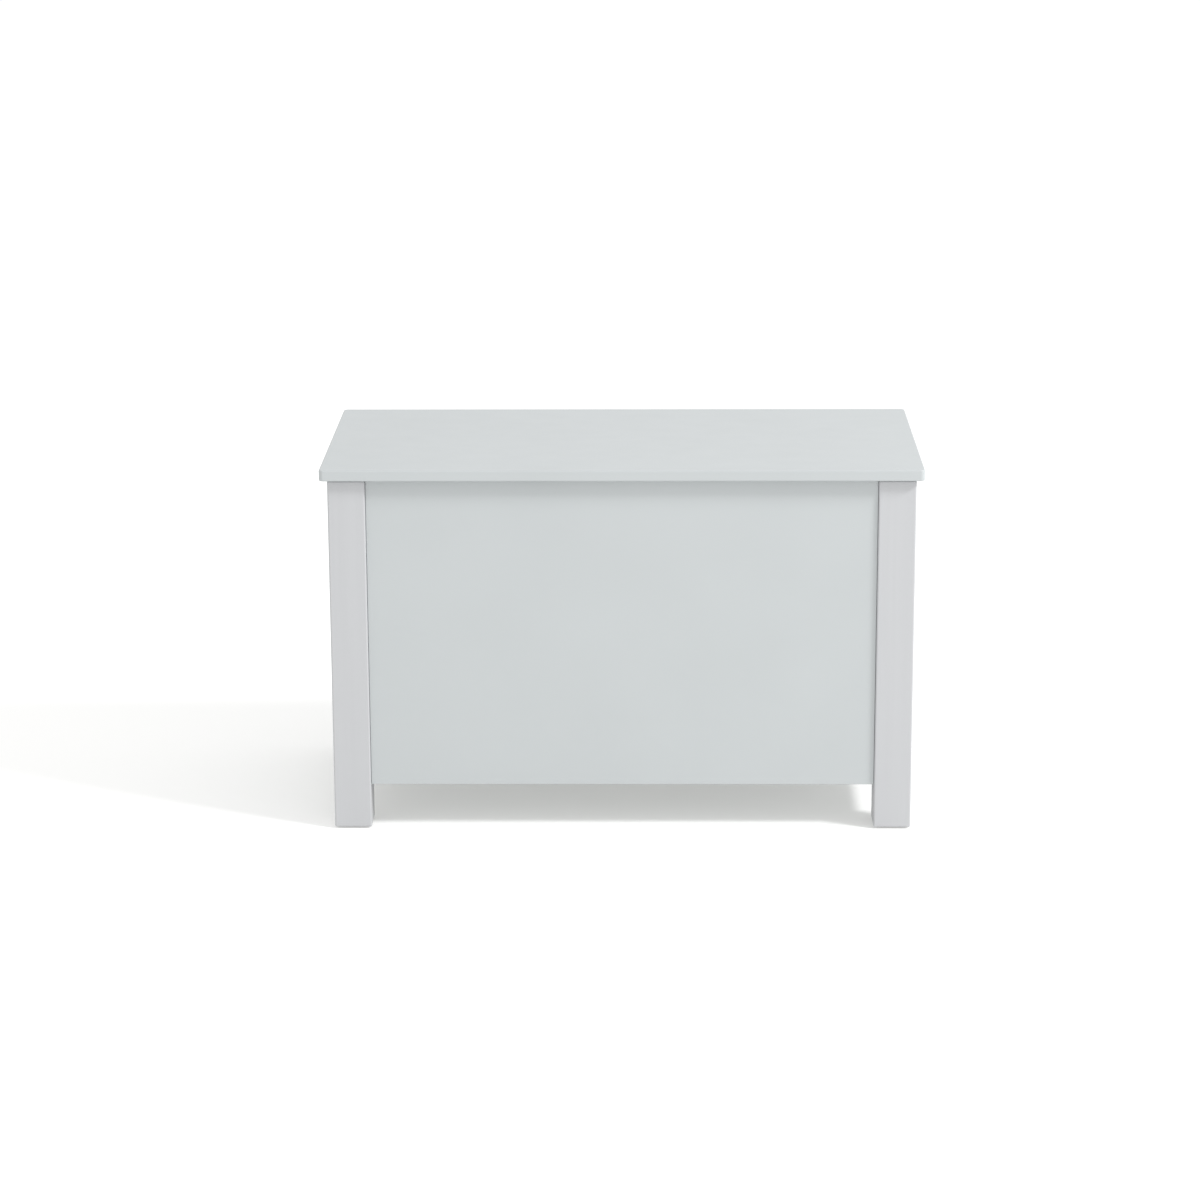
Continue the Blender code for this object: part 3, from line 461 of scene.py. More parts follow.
def surfaced(tree, tint, sheen, relief, values):
    """Joins a finish: its tint, a roughness that a noise draws between two values, and bumps laid over one
    another, each from a noise and its height in millimetres."""
    noise, low, high = sheen
    gloss = add(tree, "ShaderNodeMapRange", {"To Min": low, "To Max": high}, {"Value": (noise, "Fac")})
    under = {}
    for noise, height in relief:
        bump = add(tree, "ShaderNodeBump", {"Distance": height * MM}, {"Height": (noise, "Fac"), **under})
        under = {"Normal": (bump, "Normal")}
    links = {"Base Color": (tint, 2), "Roughness": (gloss, "Result"), **under}
    shader = add(tree, "ShaderNodeBsdfPrincipled", values, links)
    add(tree, "ShaderNodeOutputMaterial", links={"Surface": (shader, "BSDF")})


def shade(colour, factor=1.0):
    """A node's colour: a linear colour made lighter or darker."""
    return (*(channel * factor for channel in colour), 1)


def sprayed_board_paint(paints):
    """Satin lacquer, sprayed on sanded fibreboard. To the eye it is an even pale grey with a soft sheen.
    Close up it has the ripple of sprayed lacquer about 2.5 mm across, on slow waves left by the sander."""
    tree, at = new_finish("sprayed_board_paint")
    clouds = add(tree, "ShaderNodeTexNoise", {"Scale": PER_MM / 140, "Detail": 3}, at)
    rubbed = add(tree, "ShaderNodeTexNoise", {"Scale": PER_MM / 35, "Detail": 4}, at)
    waves = add(tree, "ShaderNodeTexNoise", {"Scale": PER_MM / 60, "Detail": 1}, at)
    peel = add(tree, "ShaderNodeTexNoise", {"Scale": PER_MM / 2.5, "Detail": 2}, at)
    dust = add(tree, "ShaderNodeTexNoise", {"Scale": PER_MM / 0.5, "Detail": 1}, at)
    tones = {6: shade(paints.board, 0.97), 7: shade(paints.board, 1.03)}
    tint = add(tree, "ShaderNodeMix", tones, {0: (clouds, "Fac")}, data_type="RGBA")
    relief = [(waves, 0.025), (peel, 0.02), (dust, 0.004)]
    surfaced(tree, tint, (rubbed, 0.38, 0.5), relief, {"IOR": 1.47})


def sprayed_leg_paint(paints):
    """Satin lacquer, sprayed on planed softwood posts. To the eye it is a shade more neutral than on the
    boards, and the grain shows through as faint raised lines about 3 mm apart that run up the leg."""
    tree, at = new_finish("sprayed_leg_paint")
    drawn_out = add(tree, "ShaderNodeMapping", {"Scale": (1, 1, 45)}, at, vector_type="TEXTURE")
    upright = {"Vector": (drawn_out, "Vector")}
    streaks = add(tree, "ShaderNodeTexNoise", {"Scale": PER_MM / 9, "Detail": 3}, upright)
    grain = add(tree, "ShaderNodeTexNoise", {"Scale": PER_MM / 3.2, "Detail": 3}, upright)
    peel = add(tree, "ShaderNodeTexNoise", {"Scale": PER_MM / 2, "Detail": 2}, at)
    tones = {6: shade(paints.leg, 0.965), 7: shade(paints.leg, 1.035)}
    tint = add(tree, "ShaderNodeMix", tones, {0: (streaks, "Fac")}, data_type="RGBA")
    surfaced(tree, tint, (streaks, 0.34, 0.54), [(grain, 0.045), (peel, 0.015)], {"IOR": 1.47})


def bright_zinc_plate(paints):
    """Steel pressings and screws, barrel-plated in bright zinc. To the eye they are silvery and a little
    cloudy, with a hint of straw and blue, and fine tumbling marks dull the shine in patches."""
    tree, at = new_finish("bright_zinc_plate")
    clouds = add(tree, "ShaderNodeTexNoise", {"Scale": PER_MM / 11, "Detail": 3}, at)
    spots = add(tree, "ShaderNodeTexNoise", {"Scale": PER_MM / 2, "Detail": 4}, at)
    marks = add(tree, "ShaderNodeTexNoise", {"Scale": PER_MM / 0.4, "Detail": 3, "Distortion": 1.5}, at)
    tones = {6: shade(paints.zinc_straw), 7: shade(paints.zinc_blue)}
    tinge = add(tree, "ShaderNodeMix", tones, {0: (clouds, "Fac")}, data_type="RGBA")
    blend = {6: (tinge, 2), 0: (spots, "Fac")}
    tint = add(tree, "ShaderNodeMix", {7: shade(paints.zinc)}, blend, data_type="RGBA")
    surfaced(tree, tint, (spots, 0.14, 0.5), [(marks, 0.006)], {"Metallic": 1.0})


def die_cast_zinc(paints):
    """Cam locks, die-cast in zinc alloy and tumbled. To the eye they are duller and greyer than the plate,
    with the blotchy skin that hot metal leaves on a mould."""
    tree, at = new_finish("die_cast_zinc")
    skin = add(tree, "ShaderNodeTexNoise", {"Scale": PER_MM / 3, "Detail": 4}, at)
    pits = add(tree, "ShaderNodeTexNoise", {"Scale": PER_MM / 0.5, "Detail": 3}, at)
    tones = {6: shade(paints.die_cast, 0.7), 7: shade(paints.die_cast, 1.2)}
    tint = add(tree, "ShaderNodeMix", tones, {0: (skin, "Fac")}, data_type="RGBA")
    surfaced(tree, tint, (skin, 0.32, 0.62), [(pits, 0.02)], {"Metallic": 1.0})


def ground_steel_rod(paints):
    """Strut rods in hard steel, ground and polished between wheels. To the eye they are mirrors, with
    hairline rings round them about 0.4 mm apart."""
    tree, at = new_finish("ground_steel_rod")
    strut = JOINTS["left_rod_pivot"] - JOINTS["left_tube_pivot"]
    turn = {"Rotation": (-math.atan2(strut.y, strut.z), 0, 0), "Scale": (60, 60, 1)}
    across = add(tree, "ShaderNodeMapping", turn, at, vector_type="TEXTURE")
    around = {"Vector": (across, "Vector")}
    rings = add(tree, "ShaderNodeTexNoise", {"Scale": PER_MM / 0.4, "Detail": 2}, around)
    tones = {6: shade(paints.steel, 0.88), 7: shade(paints.steel, 1.08)}
    tint = add(tree, "ShaderNodeMix", tones, {0: (rings, "Fac")}, data_type="RGBA")
    surfaced(tree, tint, (rings, 0.06, 0.2), [(rings, 0.001)], {"Metallic": 1.0})


def black_powder_coat(paints):
    """Strut tubes, powder-coated in satin black. To the eye they are nearly black, and their highlight
    breaks up in a tight orange peel about 1.2 mm across."""
    tree, at = new_finish("black_powder_coat")
    clouds = add(tree, "ShaderNodeTexNoise", {"Scale": PER_MM / 20, "Detail": 3}, at)
    peel = add(tree, "ShaderNodeTexNoise", {"Scale": PER_MM / 1.2, "Detail": 2}, at)
    tones = {6: shade(paints.black, 0.7), 7: shade(paints.black, 1.35)}
    tint = add(tree, "ShaderNodeMix", tones, {0: (clouds, "Fac")}, data_type="RGBA")
    surfaced(tree, tint, (clouds, 0.24, 0.42), [(peel, 0.02)], {"IOR": 1.5})


def moulded_nylon(name, resin):
    """Nylon, injection-moulded against spark-eroded steel. To the eye it is matt, with a fine even grain
    about 0.3 mm across and slightly paler flow marks."""
    tree, at = new_finish(name)
    flow = add(tree, "ShaderNodeTexNoise", {"Scale": PER_MM / 8, "Detail": 3, "Distortion": 1}, at)
    grain = add(tree, "ShaderNodeTexNoise", {"Scale": PER_MM / 0.3, "Detail": 2}, at)
    tones = {6: shade(resin, 0.85), 7: shade(resin, 1.15)}
    tint = add(tree, "ShaderNodeMix", tones, {0: (flow, "Fac")}, data_type="RGBA")
    surfaced(tree, tint, (flow, 0.38, 0.62), [(grain, 0.012)], {"IOR": 1.53})


def black_moulded_nylon(paints):
    """Strut sockets and seals."""
    moulded_nylon("black_moulded_nylon", paints.nylon)


def white_moulded_nylon(paints):
    """Floor glides."""
    moulded_nylon("white_moulded_nylon", paints.glide)


def cast_silicone(paints):
    """Stick-on bumpers, cast in soft silicone. To the eye they are milky and smooth, with light that soaks
    into their edges and a faint bloom on top."""
    tree, at = new_finish("cast_silicone")
    bloom = add(tree, "ShaderNodeTexNoise", {"Scale": PER_MM / 3, "Detail": 3}, at)
    tones = {6: shade(paints.silicone, 0.93), 7: shade(paints.silicone, 1.02)}
    tint = add(tree, "ShaderNodeMix", tones, {0: (bloom, "Fac")}, data_type="RGBA")
    soft = {"IOR": 1.41, "Subsurface Weight": 0.4, "Subsurface Scale": 1 * MM}
    surfaced(tree, tint, (bloom, 0.16, 0.4), [(bloom, 0.02)], soft)


def finish(maker):
    """The material that a maker gives, made the first time that it is asked for."""
    if maker.__name__ not in bpy.data.materials:
        maker(bpy.context.scene.toy_box.paints)
    return bpy.data.materials[maker.__name__]


# ---- wood --------------------------------------------------------------------------------------
def make_lid(boards):
    """The lid: a rounded rectangle carried down its thickness, with rounded top and bottom edges."""
    size = size_of("lid")
    line = oblong(size.x, size.y, boards.lid_corner, steps=10)
    shell = Shell().at(face_of("lid", Z, Y)).plate(line, eased(size.z, boards.lid_edge, steps=8))
    make_piece("lid_board", shell, sprayed_board_paint, "lid")


def make_legs(boards):
    """The legs: a square with rounded corners carried from the top of the leg to the foot."""
    top = min(boards.leg_top, boards.leg_edge)
    for node in LEGS:
        size = size_of(node)
        line = oblong(size.x, size.y, boards.leg_edge + 0.1 * MM, steps=8)
        shell = Shell().at(face_of(node, Z, Y)).plate(line, eased(size.z, top, boards.leg_edge, steps=6))
        make_piece(node.replace("leg", "post"), shell, sprayed_leg_paint, node)


def make_wall(boards, node, inward, cams=(), vents=()):
    """A wall, seen from inside the box: a rectangle carried through its thickness, with a blind groove for
    the base, blind pockets for cam locks and vents right through."""
    size = size_of(node)
    thickness = abs(size.dot(inward))
    place = face_of(node, inward)
    reach = max(size.x, size.y) if cams else wall_reach(node)
    edge = 0.3 * MM
    groove_reach = reach - 2 * (boards.notch_gap - 2 * boards.groove_side)
    groove_height = size_of("base_panel").z + 2 * boards.groove_side
    groove = oblong(groove_reach, groove_height, edge, (0, seen_from(place, "base_panel").y))
    blind = [(groove, sunk(boards.groove_depth, edge))]
    for cam in cams:
        cam_size = size_of(cam)
        pocket = circle(cam_size.x / 2 + edge, seen_from(place, cam))
        blind.append((pocket, sunk(abs(cam_size.dot(inward)) + edge, edge, steps=3)))
    cut = eased(thickness, boards.wall_edge)
    vent, vent_y = (boards.vent_length, boards.vent_height), size.z / 2 - boards.vent_drop
    through = [(oblong(*vent, boards.vent_height / 2, (x, vent_y), steps=16), cut) for x in vents]
    line = oblong(reach, size.z, boards.wall_edge * 1.3)
    shell = Shell().at(place).plate(line, cut, through, blind)
    make_piece(f"{node}_board", shell, sprayed_board_paint, node)


def wall_reach(node):
    """The length of an end wall between its two legs, without its tongues."""
    side = node.split("_")[0]
    front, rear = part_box(f"front_{side}_leg")[1].y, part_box(f"rear_{side}_leg")[0].y
    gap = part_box("front_right_leg")[0].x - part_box("front_wall")[1].x
    return rear - front - 2 * gap


def make_walls(boards):
    """All four walls."""
    for name, inward in LONG_WALLS:
        cams = [f"{name}_{side}_{level}_cam" for side, _ in SIDES for level in LEVELS]
        vents = [sign * boards.vent_place for _, sign in SIDES] if name == "back" else []
        make_wall(boards, f"{name}_wall", inward, cams, vents)
    for side, sign in SIDES:
        make_wall(boards, f"{side}_wall", -sign * X)


def make_base(boards):
    """The base: a rectangle with a corner cut out round each leg, carried down its thickness."""
    low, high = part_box("base_panel")
    front_leg, rear_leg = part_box("front_right_leg"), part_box("rear_right_leg")
    inner = front_leg[0].x - boards.notch_gap
    front, rear = front_leg[1].y + boards.notch_gap, rear_leg[0].y - boards.notch_gap
    outer_round, inner_round = 1 * MM, 3 * MM
    right = [
        (inner, low.y, outer_round),
        (inner, front, inner_round),
        (high.x, front, outer_round),
        (high.x, rear, outer_round),
        (inner, rear, inner_round),
        (inner, high.y, outer_round),
    ]
    line = outline(right + [(-x, y, radius) for x, y, radius in reversed(right)])
    shell = Shell().at(placed((0, 0, high.z), Z, Y)).plate(line, eased(high.z - low.z, 0.5 * MM))
    make_piece("base_board", shell, sprayed_board_paint, "base_panel")


# ---- small fittings ----------------------------------------------------------------------------
def cross_recess(width, reach, depth):
    """A blind cross-shaped recess for a driver: an outline of twelve small-radius corners, carried straight
    down."""
    side, corner = width / 2, width * 0.15
    corners = []
    for cos, sin in ((1, 0), (0, 1), (-1, 0), (0, -1)):
        arm = [(reach, -side), (reach, side), (side, side)]
        corners += [(x * cos - y * sin, x * sin + y * cos, corner) for x, y in arm]
    return outline(corners, 3), section((0, 0), (0, -depth))


def screw_holes(fittings, place, thickness, screws):
    """A countersunk hole for each of those screws, through a sheet whose front face is there."""
    cone = fittings.screw_head - fittings.screw_shank
    sink = section((-cone, 0), (0, -cone), (0, -thickness))
    radius = fittings.screw_shank + 0.2 * MM
    return [(circle(radius, seen_from(place, screw), 32), sink) for screw in screws]


def make_screws(fittings):
    """Every hinge and bracket screw: a circle carried down its head's cone, its shank and its point, with a
    cross recess that is turned its own way."""
    head, shank, tip = fittings.screw_head, fittings.screw_shank, fittings.screw_length
    lip, point, radians_apart = 0.25 * MM, 3 * MM, 0.7
    cut = section(
        (head - lip, 0),
        (head, 0, 0.1 * MM),
        (head, -lip),
        (shank, -lip - (head - shank), 0.4 * MM),
        (shank, -tip + point),
        (0.1 * MM, -tip),
        steps=3,
    )
    recess = cross_recess(0.85 * MM, 1.5 * MM, 1.3 * MM)
    kinds = (
        ("hinge_back", Y, "outer", "inner"),
        ("hinge_lid", -Z, "outer", "inner"),
        ("bracket", -Z, "front", "rear"),
    )
    screws = [
        (f"{side}_{kind}_{which}", way) for kind, way, *pair in kinds for side, _ in SIDES for which in pair
    ]
    for number, (name, way) in enumerate(screws):
        place = face_of(f"{name}_screw", way, Matrix.Rotation(radians_apart * number, 3, way) @ X)
        shell = Shell().at(place).plate(circle(steps=32), cut, blind=[recess])
        make_piece(f"{name}_cross_screw", shell, bright_zinc_plate, f"{name}_screw")


def make_cams():
    """Cam locks: a disc with a rounded rim, a cross recess, and an arrow that shows how far it is turned."""
    corner = 0.1 * MM
    for wall, inward in LONG_WALLS:
        for side, sign in SIDES:
            for level in LEVELS:
                node = f"{wall}_{side}_{level}_cam"
                size = size_of(node)
                radius = size.x / 2
                # The arrow is drawn towards the disc's x, which its place turns up or down: a tightened cam
                # doesn't point at its bolt.
                up = X * sign if level == "upper" else -X * sign
                tip, wing = 0.84 * radius, 0.2 * radius
                arrow = [(tip, 0, corner), (tip - wing, wing, corner), (tip - wing, -wing, corner)]
                blind = [
                    cross_recess(1.6 * MM, 3.6 * MM, 2.2 * MM),
                    (outline(arrow, 3), section((0, 0), (0, -0.5 * MM))),
                ]
                cut = eased(abs(size.dot(inward)), 0.5 * MM, out=radius)
                shell = Shell().at(face_of(node, inward, up)).plate(circle(steps=64), cut, blind=blind)
                make_piece(f"{node}_disc", shell, die_cast_zinc, node)


def make_feet():
    """Floor glides, with the dimple of their nail, and domed bumpers on the front legs."""
    nail = (circle(2.2 * MM), sunk(0.9 * MM, 0.3 * MM))
    for side, _ in SIDES:
        for end in ("front", "rear"):
            node = f"{end}_{side}_glide"
            size = size_of(node)
            cut = eased(size.z, 0.7 * MM, 0.2 * MM, out=size.x / 2)
            shell = Shell().at(face_of(node, -Z, Y)).plate(circle(steps=64), cut, blind=[nail])
            make_piece(f"{end}_{side}_nylon_glide", shell, white_moulded_nylon, node)
        node = f"{side}_lid_bumper"
        size = size_of(node)
        dome = eased(size.z, 0.85 * size.z, 0.1 * MM, out=size.x / 2, steps=8)
        shell = Shell().at(face_of(node, Z, Y)).plate(circle(steps=48), dome)
        make_piece(f"{side}_silicone_bumper", shell, cast_silicone, node)


# ---- hinges ------------------------------------------------------------------------------------
def knuckle_spans(fittings, first):
    """The start and end along the hinge of each knuckle's stretch of a leaf, and whether the knuckle is the
    leaf's own. The other leaf's are every second one from first."""
    half, pitch = fittings.hinge_length / 2, fittings.hinge_length / fittings.knuckles
    for i in range(fittings.knuckles):
        own = i % 2 != first
        shrink = fittings.knuckle_gap / 2 * (1 if own else -1)
        start = i * pitch - half + (shrink if i else 0)
        end = (i + 1) * pitch - half - (shrink if i < fittings.knuckles - 1 else 0)
        yield start, end, own


def leaf_line(fittings, first, clear, root):
    """A hinge leaf's outline: x along the hinge, y away from the axis. Its comb reaches the root under its
    own knuckles and stops clear of the other leaf's."""
    corner, tooth = 3 * MM, 0.25 * MM
    half, width = fittings.hinge_length / 2, fittings.leaf_width
    comb = [(x, root if own else clear, tooth) for *ends, own in knuckle_spans(fittings, first) for x in ends]
    return outline([*comb, (half, width, corner), (-half, width, corner)], 4)


def knuckle_line(radius, thickness):
    """The section of a rolled knuckle, with y away from the axis: sheet that comes in along its underside,
    curls once round the pin and ends just above itself."""
    inner, tail, nip = radius - thickness, 0.5 * MM, 0.14 * MM
    end = 0.2 * MM - inner
    clockwise = [
        (tail, -radius, nip),
        (-radius, -radius, radius),
        (-radius, radius, radius),
        (radius, radius, radius),
        (radius, end, nip),
        (inner, end, nip),
        (inner, inner, inner),
        (-inner, inner, inner),
        (-inner, -inner, inner),
        (tail, -inner, nip),
    ]
    return outline(clockwise[::-1], 10)


def make_hinges(fittings):
    """Two butt hinges: leaves with countersunk holes and rolled knuckles, on pins with peened heads."""
    thickness, length = fittings.leaf, fittings.hinge_length
    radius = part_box("left_hinge_back_leaf")[1].y - JOINTS["lid_hinge"].y
    bore = radius - thickness
    curl = knuckle_line(radius, thickness)
    over = 0.5 * MM
    head, stem, flat, edge = bore + over, bore - 0.1 * MM, 0.3 * MM, 0.45 * MM
    pin = section(
        (flat, 0),
        (head, 0, edge),
        (head, -over),
        (stem, -over),
        (stem, -over - length),
        (head, -over - length),
        (head, -2 * over - length, edge),
        (flat, -2 * over - length),
        steps=4,
    )
    for side, _ in SIDES:
        middle = middle_of(f"{side}_hinge_pin")
        for leaf, first, y, z in (("back", 1, -Z, Y), ("lid", 0, -Y, -Z)):
            name = f"{side}_hinge_{leaf}"
            place = placed(middle - z * bore, z, y)
            holes = screw_holes(fittings, place, thickness, (f"{name}_outer_screw", f"{name}_inner_screw"))
            line = leaf_line(fittings, first, radius + 0.3 * MM, 0.2 * MM)
            shell = Shell().at(place).plate(line, eased(thickness, 0.22 * MM, 0.08 * MM, steps=3), holes)
            # A knuckle's own x is away from the axis, its y towards the viewer and its z along the hinge.
            for start, end, own in knuckle_spans(fittings, first):
                if own:
                    cut = eased(end - start, 0.12 * MM, steps=3)
                    shell.at(placed(middle + X * end, X, z)).plate(curl, cut)
            make_piece(f"{name}_pressing", shell, bright_zinc_plate, f"{name}_leaf")
        shell = Shell().at(placed(middle + X * (length / 2 + over), X)).plate(circle(steps=32), pin)
        make_piece(f"{side}_peened_pin", shell, bright_zinc_plate, f"{side}_hinge_pin")


# ---- struts ------------------------------------------------------------------------------------
def add_stud(shell, fittings, at, towards, face):
    """A ball on a waisted neck, which stands on something face away from the ball."""
    ball, neck = fittings.ball, 2.2 * MM
    cut = section(
        (neck * 0.9, -ball * 0.5),
        (neck, -ball * 0.9, 1.2 * MM),
        (neck, -face + 0.2 * MM, 0.9 * MM),
        (neck + 1.1 * MM, -face),
    )
    shell.at(placed(at, towards, Z)).ball(ball).plate(circle(steps=32), cut)


def make_leg_stud(fittings, side, sign):
    """The stud on the leg: ball, neck, a hexagon to turn it by and a thin washer face."""
    ball, inward = JOINTS[f"{side}_tube_pivot"], -sign * X
    reach = abs(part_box(f"rear_{side}_leg")[1 if sign < 0 else 0].x) - abs(ball.x)
    hexagon_top, washer_top = reach - 3.6 * MM, reach - 1.1 * MM
    corner_reach = 4 * MM / math.cos(math.pi / 6)
    angles = np.arange(6) * math.tau / 6
    hexagon = [(corner_reach * math.cos(angle), corner_reach * math.sin(angle), 0.5 * MM) for angle in angles]
    shell = Shell()
    add_stud(shell, fittings, ball, inward, hexagon_top)
    shell.at(placed(ball - inward * hexagon_top, inward, Z))
    shell.plate(outline(hexagon, 3), eased(2.6 * MM, 0.35 * MM, steps=3))
    shell.at(placed(ball - inward * washer_top, inward, Z))
    shell.plate(circle(steps=48), eased(0.8 * MM, 0.2 * MM, out=5.9 * MM, steps=3))
    make_piece(f"{side}_leg_ball_stud", shell, bright_zinc_plate, f"{side}_leg_stud")


def make_lid_bracket(fittings, side, sign):
    """The bracket under the lid: a plate with two countersunk holes, bent down into a round-ended tab that
    holds the riveted ball stud."""
    node = f"{side}_lid_bracket"
    low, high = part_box(node)
    ball = JOINTS[f"{side}_rod_pivot"]
    thickness, bend, tab, rim = 2 * MM, 3 * MM, 20 * MM, 0.3 * MM
    tab_x = ball.x + sign * (fittings.stud_reach - thickness)
    outer_x = high.x if sign > 0 else low.x
    bend_x = tab_x + sign * bend
    # The plate, seen from below, stops where the bend starts.
    place = placed(((bend_x + outer_x) / 2, ball.y, high.z - thickness), -Z, Y)
    screws = [f"{side}_bracket_{which}_screw" for which in ("front", "rear")]
    holes = screw_holes(fittings, place, thickness, screws)
    line = oblong(abs(outer_x - bend_x), high.y - low.y, 4 * MM)
    shell = Shell().at(place).plate(line, eased(thickness, rim, 0.1 * MM, steps=3), holes)
    # The bend and the tab's straight part are one section, carried along Y a hair inside the plate and the
    # tab.
    hair, overlap = 0.02 * MM, 1.5 * MM
    under, end_z = high.z - thickness + hair, high.z - bend - 1 * MM
    corners = [
        (hair, end_z, rim),
        (thickness - hair, end_z, rim),
        (thickness - hair, under, bend - thickness),
        (bend + overlap, under, rim),
        (bend + overlap, high.z - hair, rim),
        (hair, high.z - hair, bend),
    ]
    strip = outline([(tab_x + sign * out, z, radius) for out, z, radius in corners][::sign])
    shell.at(placed((0, ball.y - tab / 2 + hair, 0), -Y, Z))
    shell.plate(strip, eased(tab - 2 * hair, 0.25 * MM, steps=3))
    # The tab, square where it meets the bend and round below, seen from the middle of the box.
    half = tab / 2
    top = high.z - bend + 0.2 * MM - (low.z + half)
    line = outline([(-half, -half, half), (half, -half, half), (half, top, rim), (-half, top, rim)], 12)
    shell.at(placed((tab_x, ball.y, low.z + half), -sign * X, Z))
    shell.plate(line, eased(thickness, 0.25 * MM, steps=3))
    add_stud(shell, fittings, ball, -sign * X, fittings.stud_reach - thickness)
    rivet, rivet_height = 3.2 * MM, 1.1 * MM
    cut = section((0.4 * MM, 0), (rivet, 0, 1 * MM), (rivet, -rivet_height), steps=6)
    shell.at(placed(ball + sign * X * (fittings.stud_reach + rivet_height), sign * X, Z))
    shell.plate(circle(steps=32), cut)
    make_piece(f"{side}_bent_bracket", shell, bright_zinc_plate, node)


def make_socket(fittings, ball, sign, along, stem_end):
    """A ball socket: a round cup that opens towards the stud, on a ribbed stem along the strut."""
    mouth = sign * X
    top, bottom, lead = 4.5 * MM, 6 * MM, 0.6 * MM
    bore = fittings.ball + 0.3 * MM
    seat = (circle(bore), section((-lead, 0), (0, -lead, 0.3 * MM), (0, -top - bore * 0.9), steps=4))
    shell = Shell().at(placed(ball + mouth * top, mouth, along))
    shell.plate(circle(steps=64), eased(top + bottom, 0.7 * MM, 1.4 * MM, out=fittings.cup), blind=[seat])
    stem, rib, corner, ribs, start = 5 * MM, 0.45 * MM, 0.2 * MM, 4, 7.5 * MM
    pitch = (stem_end - start) / ribs
    corners = [(stem - 0.6 * MM, 0), (stem, 0, 0.5 * MM)]
    for i in range(ribs):
        groove = ((stem, 0.55), (stem - rib, 0.65), (stem - rib, 0.9), (stem, 1))
        corners += [(radius, -(i + part) * pitch, corner) for radius, part in groove]
    end = -(stem_end - 3.5 * MM)
    corners += [(stem, end, corner), (stem - 0.5 * MM, end)]
    shell.at(placed(ball + along * stem_end, along, X))
    return shell.plate(circle(steps=48), section(*corners, steps=2))


def make_clip(fittings, name, ball, sign, along, node):
    """The spring wire that keeps a socket on its ball: most of a circle round the cup, with both ends
    turned out."""
    radius = fittings.cup + 0.25 * MM
    angles = np.linspace(math.radians(35), math.radians(325), 60)[:, None]
    across, forward = np.array(along.cross(sign * X)), np.array(along)
    out = np.cos(angles) * forward + np.sin(angles) * across
    loop = np.array(ball + sign * X * 1.6 * MM) - radius * out
    reach = np.linspace(0.3, 2.6, 6)[:, None] * MM
    first = loop[0] - (forward * 0.5 - across * 0.6) * reach
    last = loop[-1] - (forward * 0.5 + across * 0.6) * reach
    shell = Shell().wire(np.concatenate([first[::-1], loop, last]), sign * np.array(X), 0.5 * MM)
    make_piece(name, shell, bright_zinc_plate, node, "zinc_plated_steel")


def make_tube(fittings, side, foot, along, end):
    """A strut's tube: a circle carried down from its rolled mouth, past a groove, to its closed end, with a
    blind bore that the rod goes into."""
    radius, rolled, dip = fittings.tube, 2.2 * MM, 0.45 * MM
    closed = fittings.tube_start - end
    cut = section(
        (radius - rolled, 0),
        (radius, 0, rolled),
        (radius, -7 * MM, 0.6 * MM),
        (radius - dip, -7.6 * MM, 0.3 * MM),
        (radius - dip, -8.4 * MM, 0.3 * MM),
        (radius, -9 * MM, 0.6 * MM),
        (radius, closed, 1.6 * MM),
        (radius - 2 * MM, closed),
        steps=6,
    )
    bore = (circle(fittings.rod + 0.9 * MM, steps=48), section((0, 0), (0, -11 * MM)))
    shell = Shell().at(placed(foot + along * end, along, X)).plate(circle(steps=64), cut, blind=[bore])
    make_piece(f"{side}_tube", shell, black_powder_coat, f"{side}_strut_tube")


def make_seal(fittings, side, foot, along, end):
    """The wiper seal in the tube's mouth: a circle carried through a ring's thickness, with a round hole."""
    height, edge = 2 * MM, 0.3 * MM
    hole = (circle(fittings.rod + 0.1 * MM, steps=48), eased(height, edge, steps=3))
    shell = Shell().at(placed(foot + along * (end + 0.3 * MM), along, X))
    shell.plate(circle(steps=48), eased(height, edge, out=fittings.rod + 1.4 * MM), [hole])
    make_piece(f"{side}_wiper_seal", shell, black_moulded_nylon, f"{side}_strut_tube", "black_nylon")


def make_rod(fittings, side, head, along):
    """A strut's rod, with its piston on the lower end. It is long enough to stay in the tube's guide when
    the lid is wide open."""
    low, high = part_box(f"{side}_strut_rod")
    start, piston_height, edge = 11 * MM, 8 * MM, 0.4 * MM
    reach = (high.z - low.z) / along.z - 14 * MM
    cut = section(
        (fittings.rod - edge, 0),
        (fittings.rod, 0, edge),
        (fittings.rod, -reach, edge),
        (fittings.rod - edge, -reach),
        steps=3,
    )
    shell = Shell().at(placed(head - along * start, along, X)).plate(circle(steps=48), cut)
    shell.at(placed(head - along * (start + reach - 0.3 * MM), along, X))
    shell.plate(circle(steps=48), eased(piston_height, 0.5 * MM, out=fittings.tube - 1.3 * MM))
    make_piece(f"{side}_rod", shell, ground_steel_rod, f"{side}_strut_rod")


def make_strut(fittings, side, sign):
    """One strut: tube, seal, rod, two sockets and their clips, all along the line between its two ball
    studs."""
    foot, head = JOINTS[f"{side}_tube_pivot"], JOINTS[f"{side}_rod_pivot"]
    along = (head - foot).normalized()
    tube_end = (head - foot).length - fittings.stem_end - fittings.rest_gap
    tube, rod = f"{side}_strut_tube", f"{side}_strut_rod"
    make_tube(fittings, side, foot, along, tube_end)
    socket = make_socket(fittings, foot, sign, along, fittings.tube_start + 0.6 * MM)
    make_piece(f"{side}_tube_socket", socket, black_moulded_nylon, tube, "black_nylon")
    make_seal(fittings, side, foot, along, tube_end)
    make_rod(fittings, side, head, along)
    socket = make_socket(fittings, head, sign, -along, fittings.stem_end)
    make_piece(f"{side}_rod_end", socket, black_moulded_nylon, f"{side}_rod_socket")
    make_clip(fittings, f"{side}_tube_clip", foot, sign, along, tube)
    make_clip(fittings, f"{side}_rod_clip", head, sign, -along, rod)


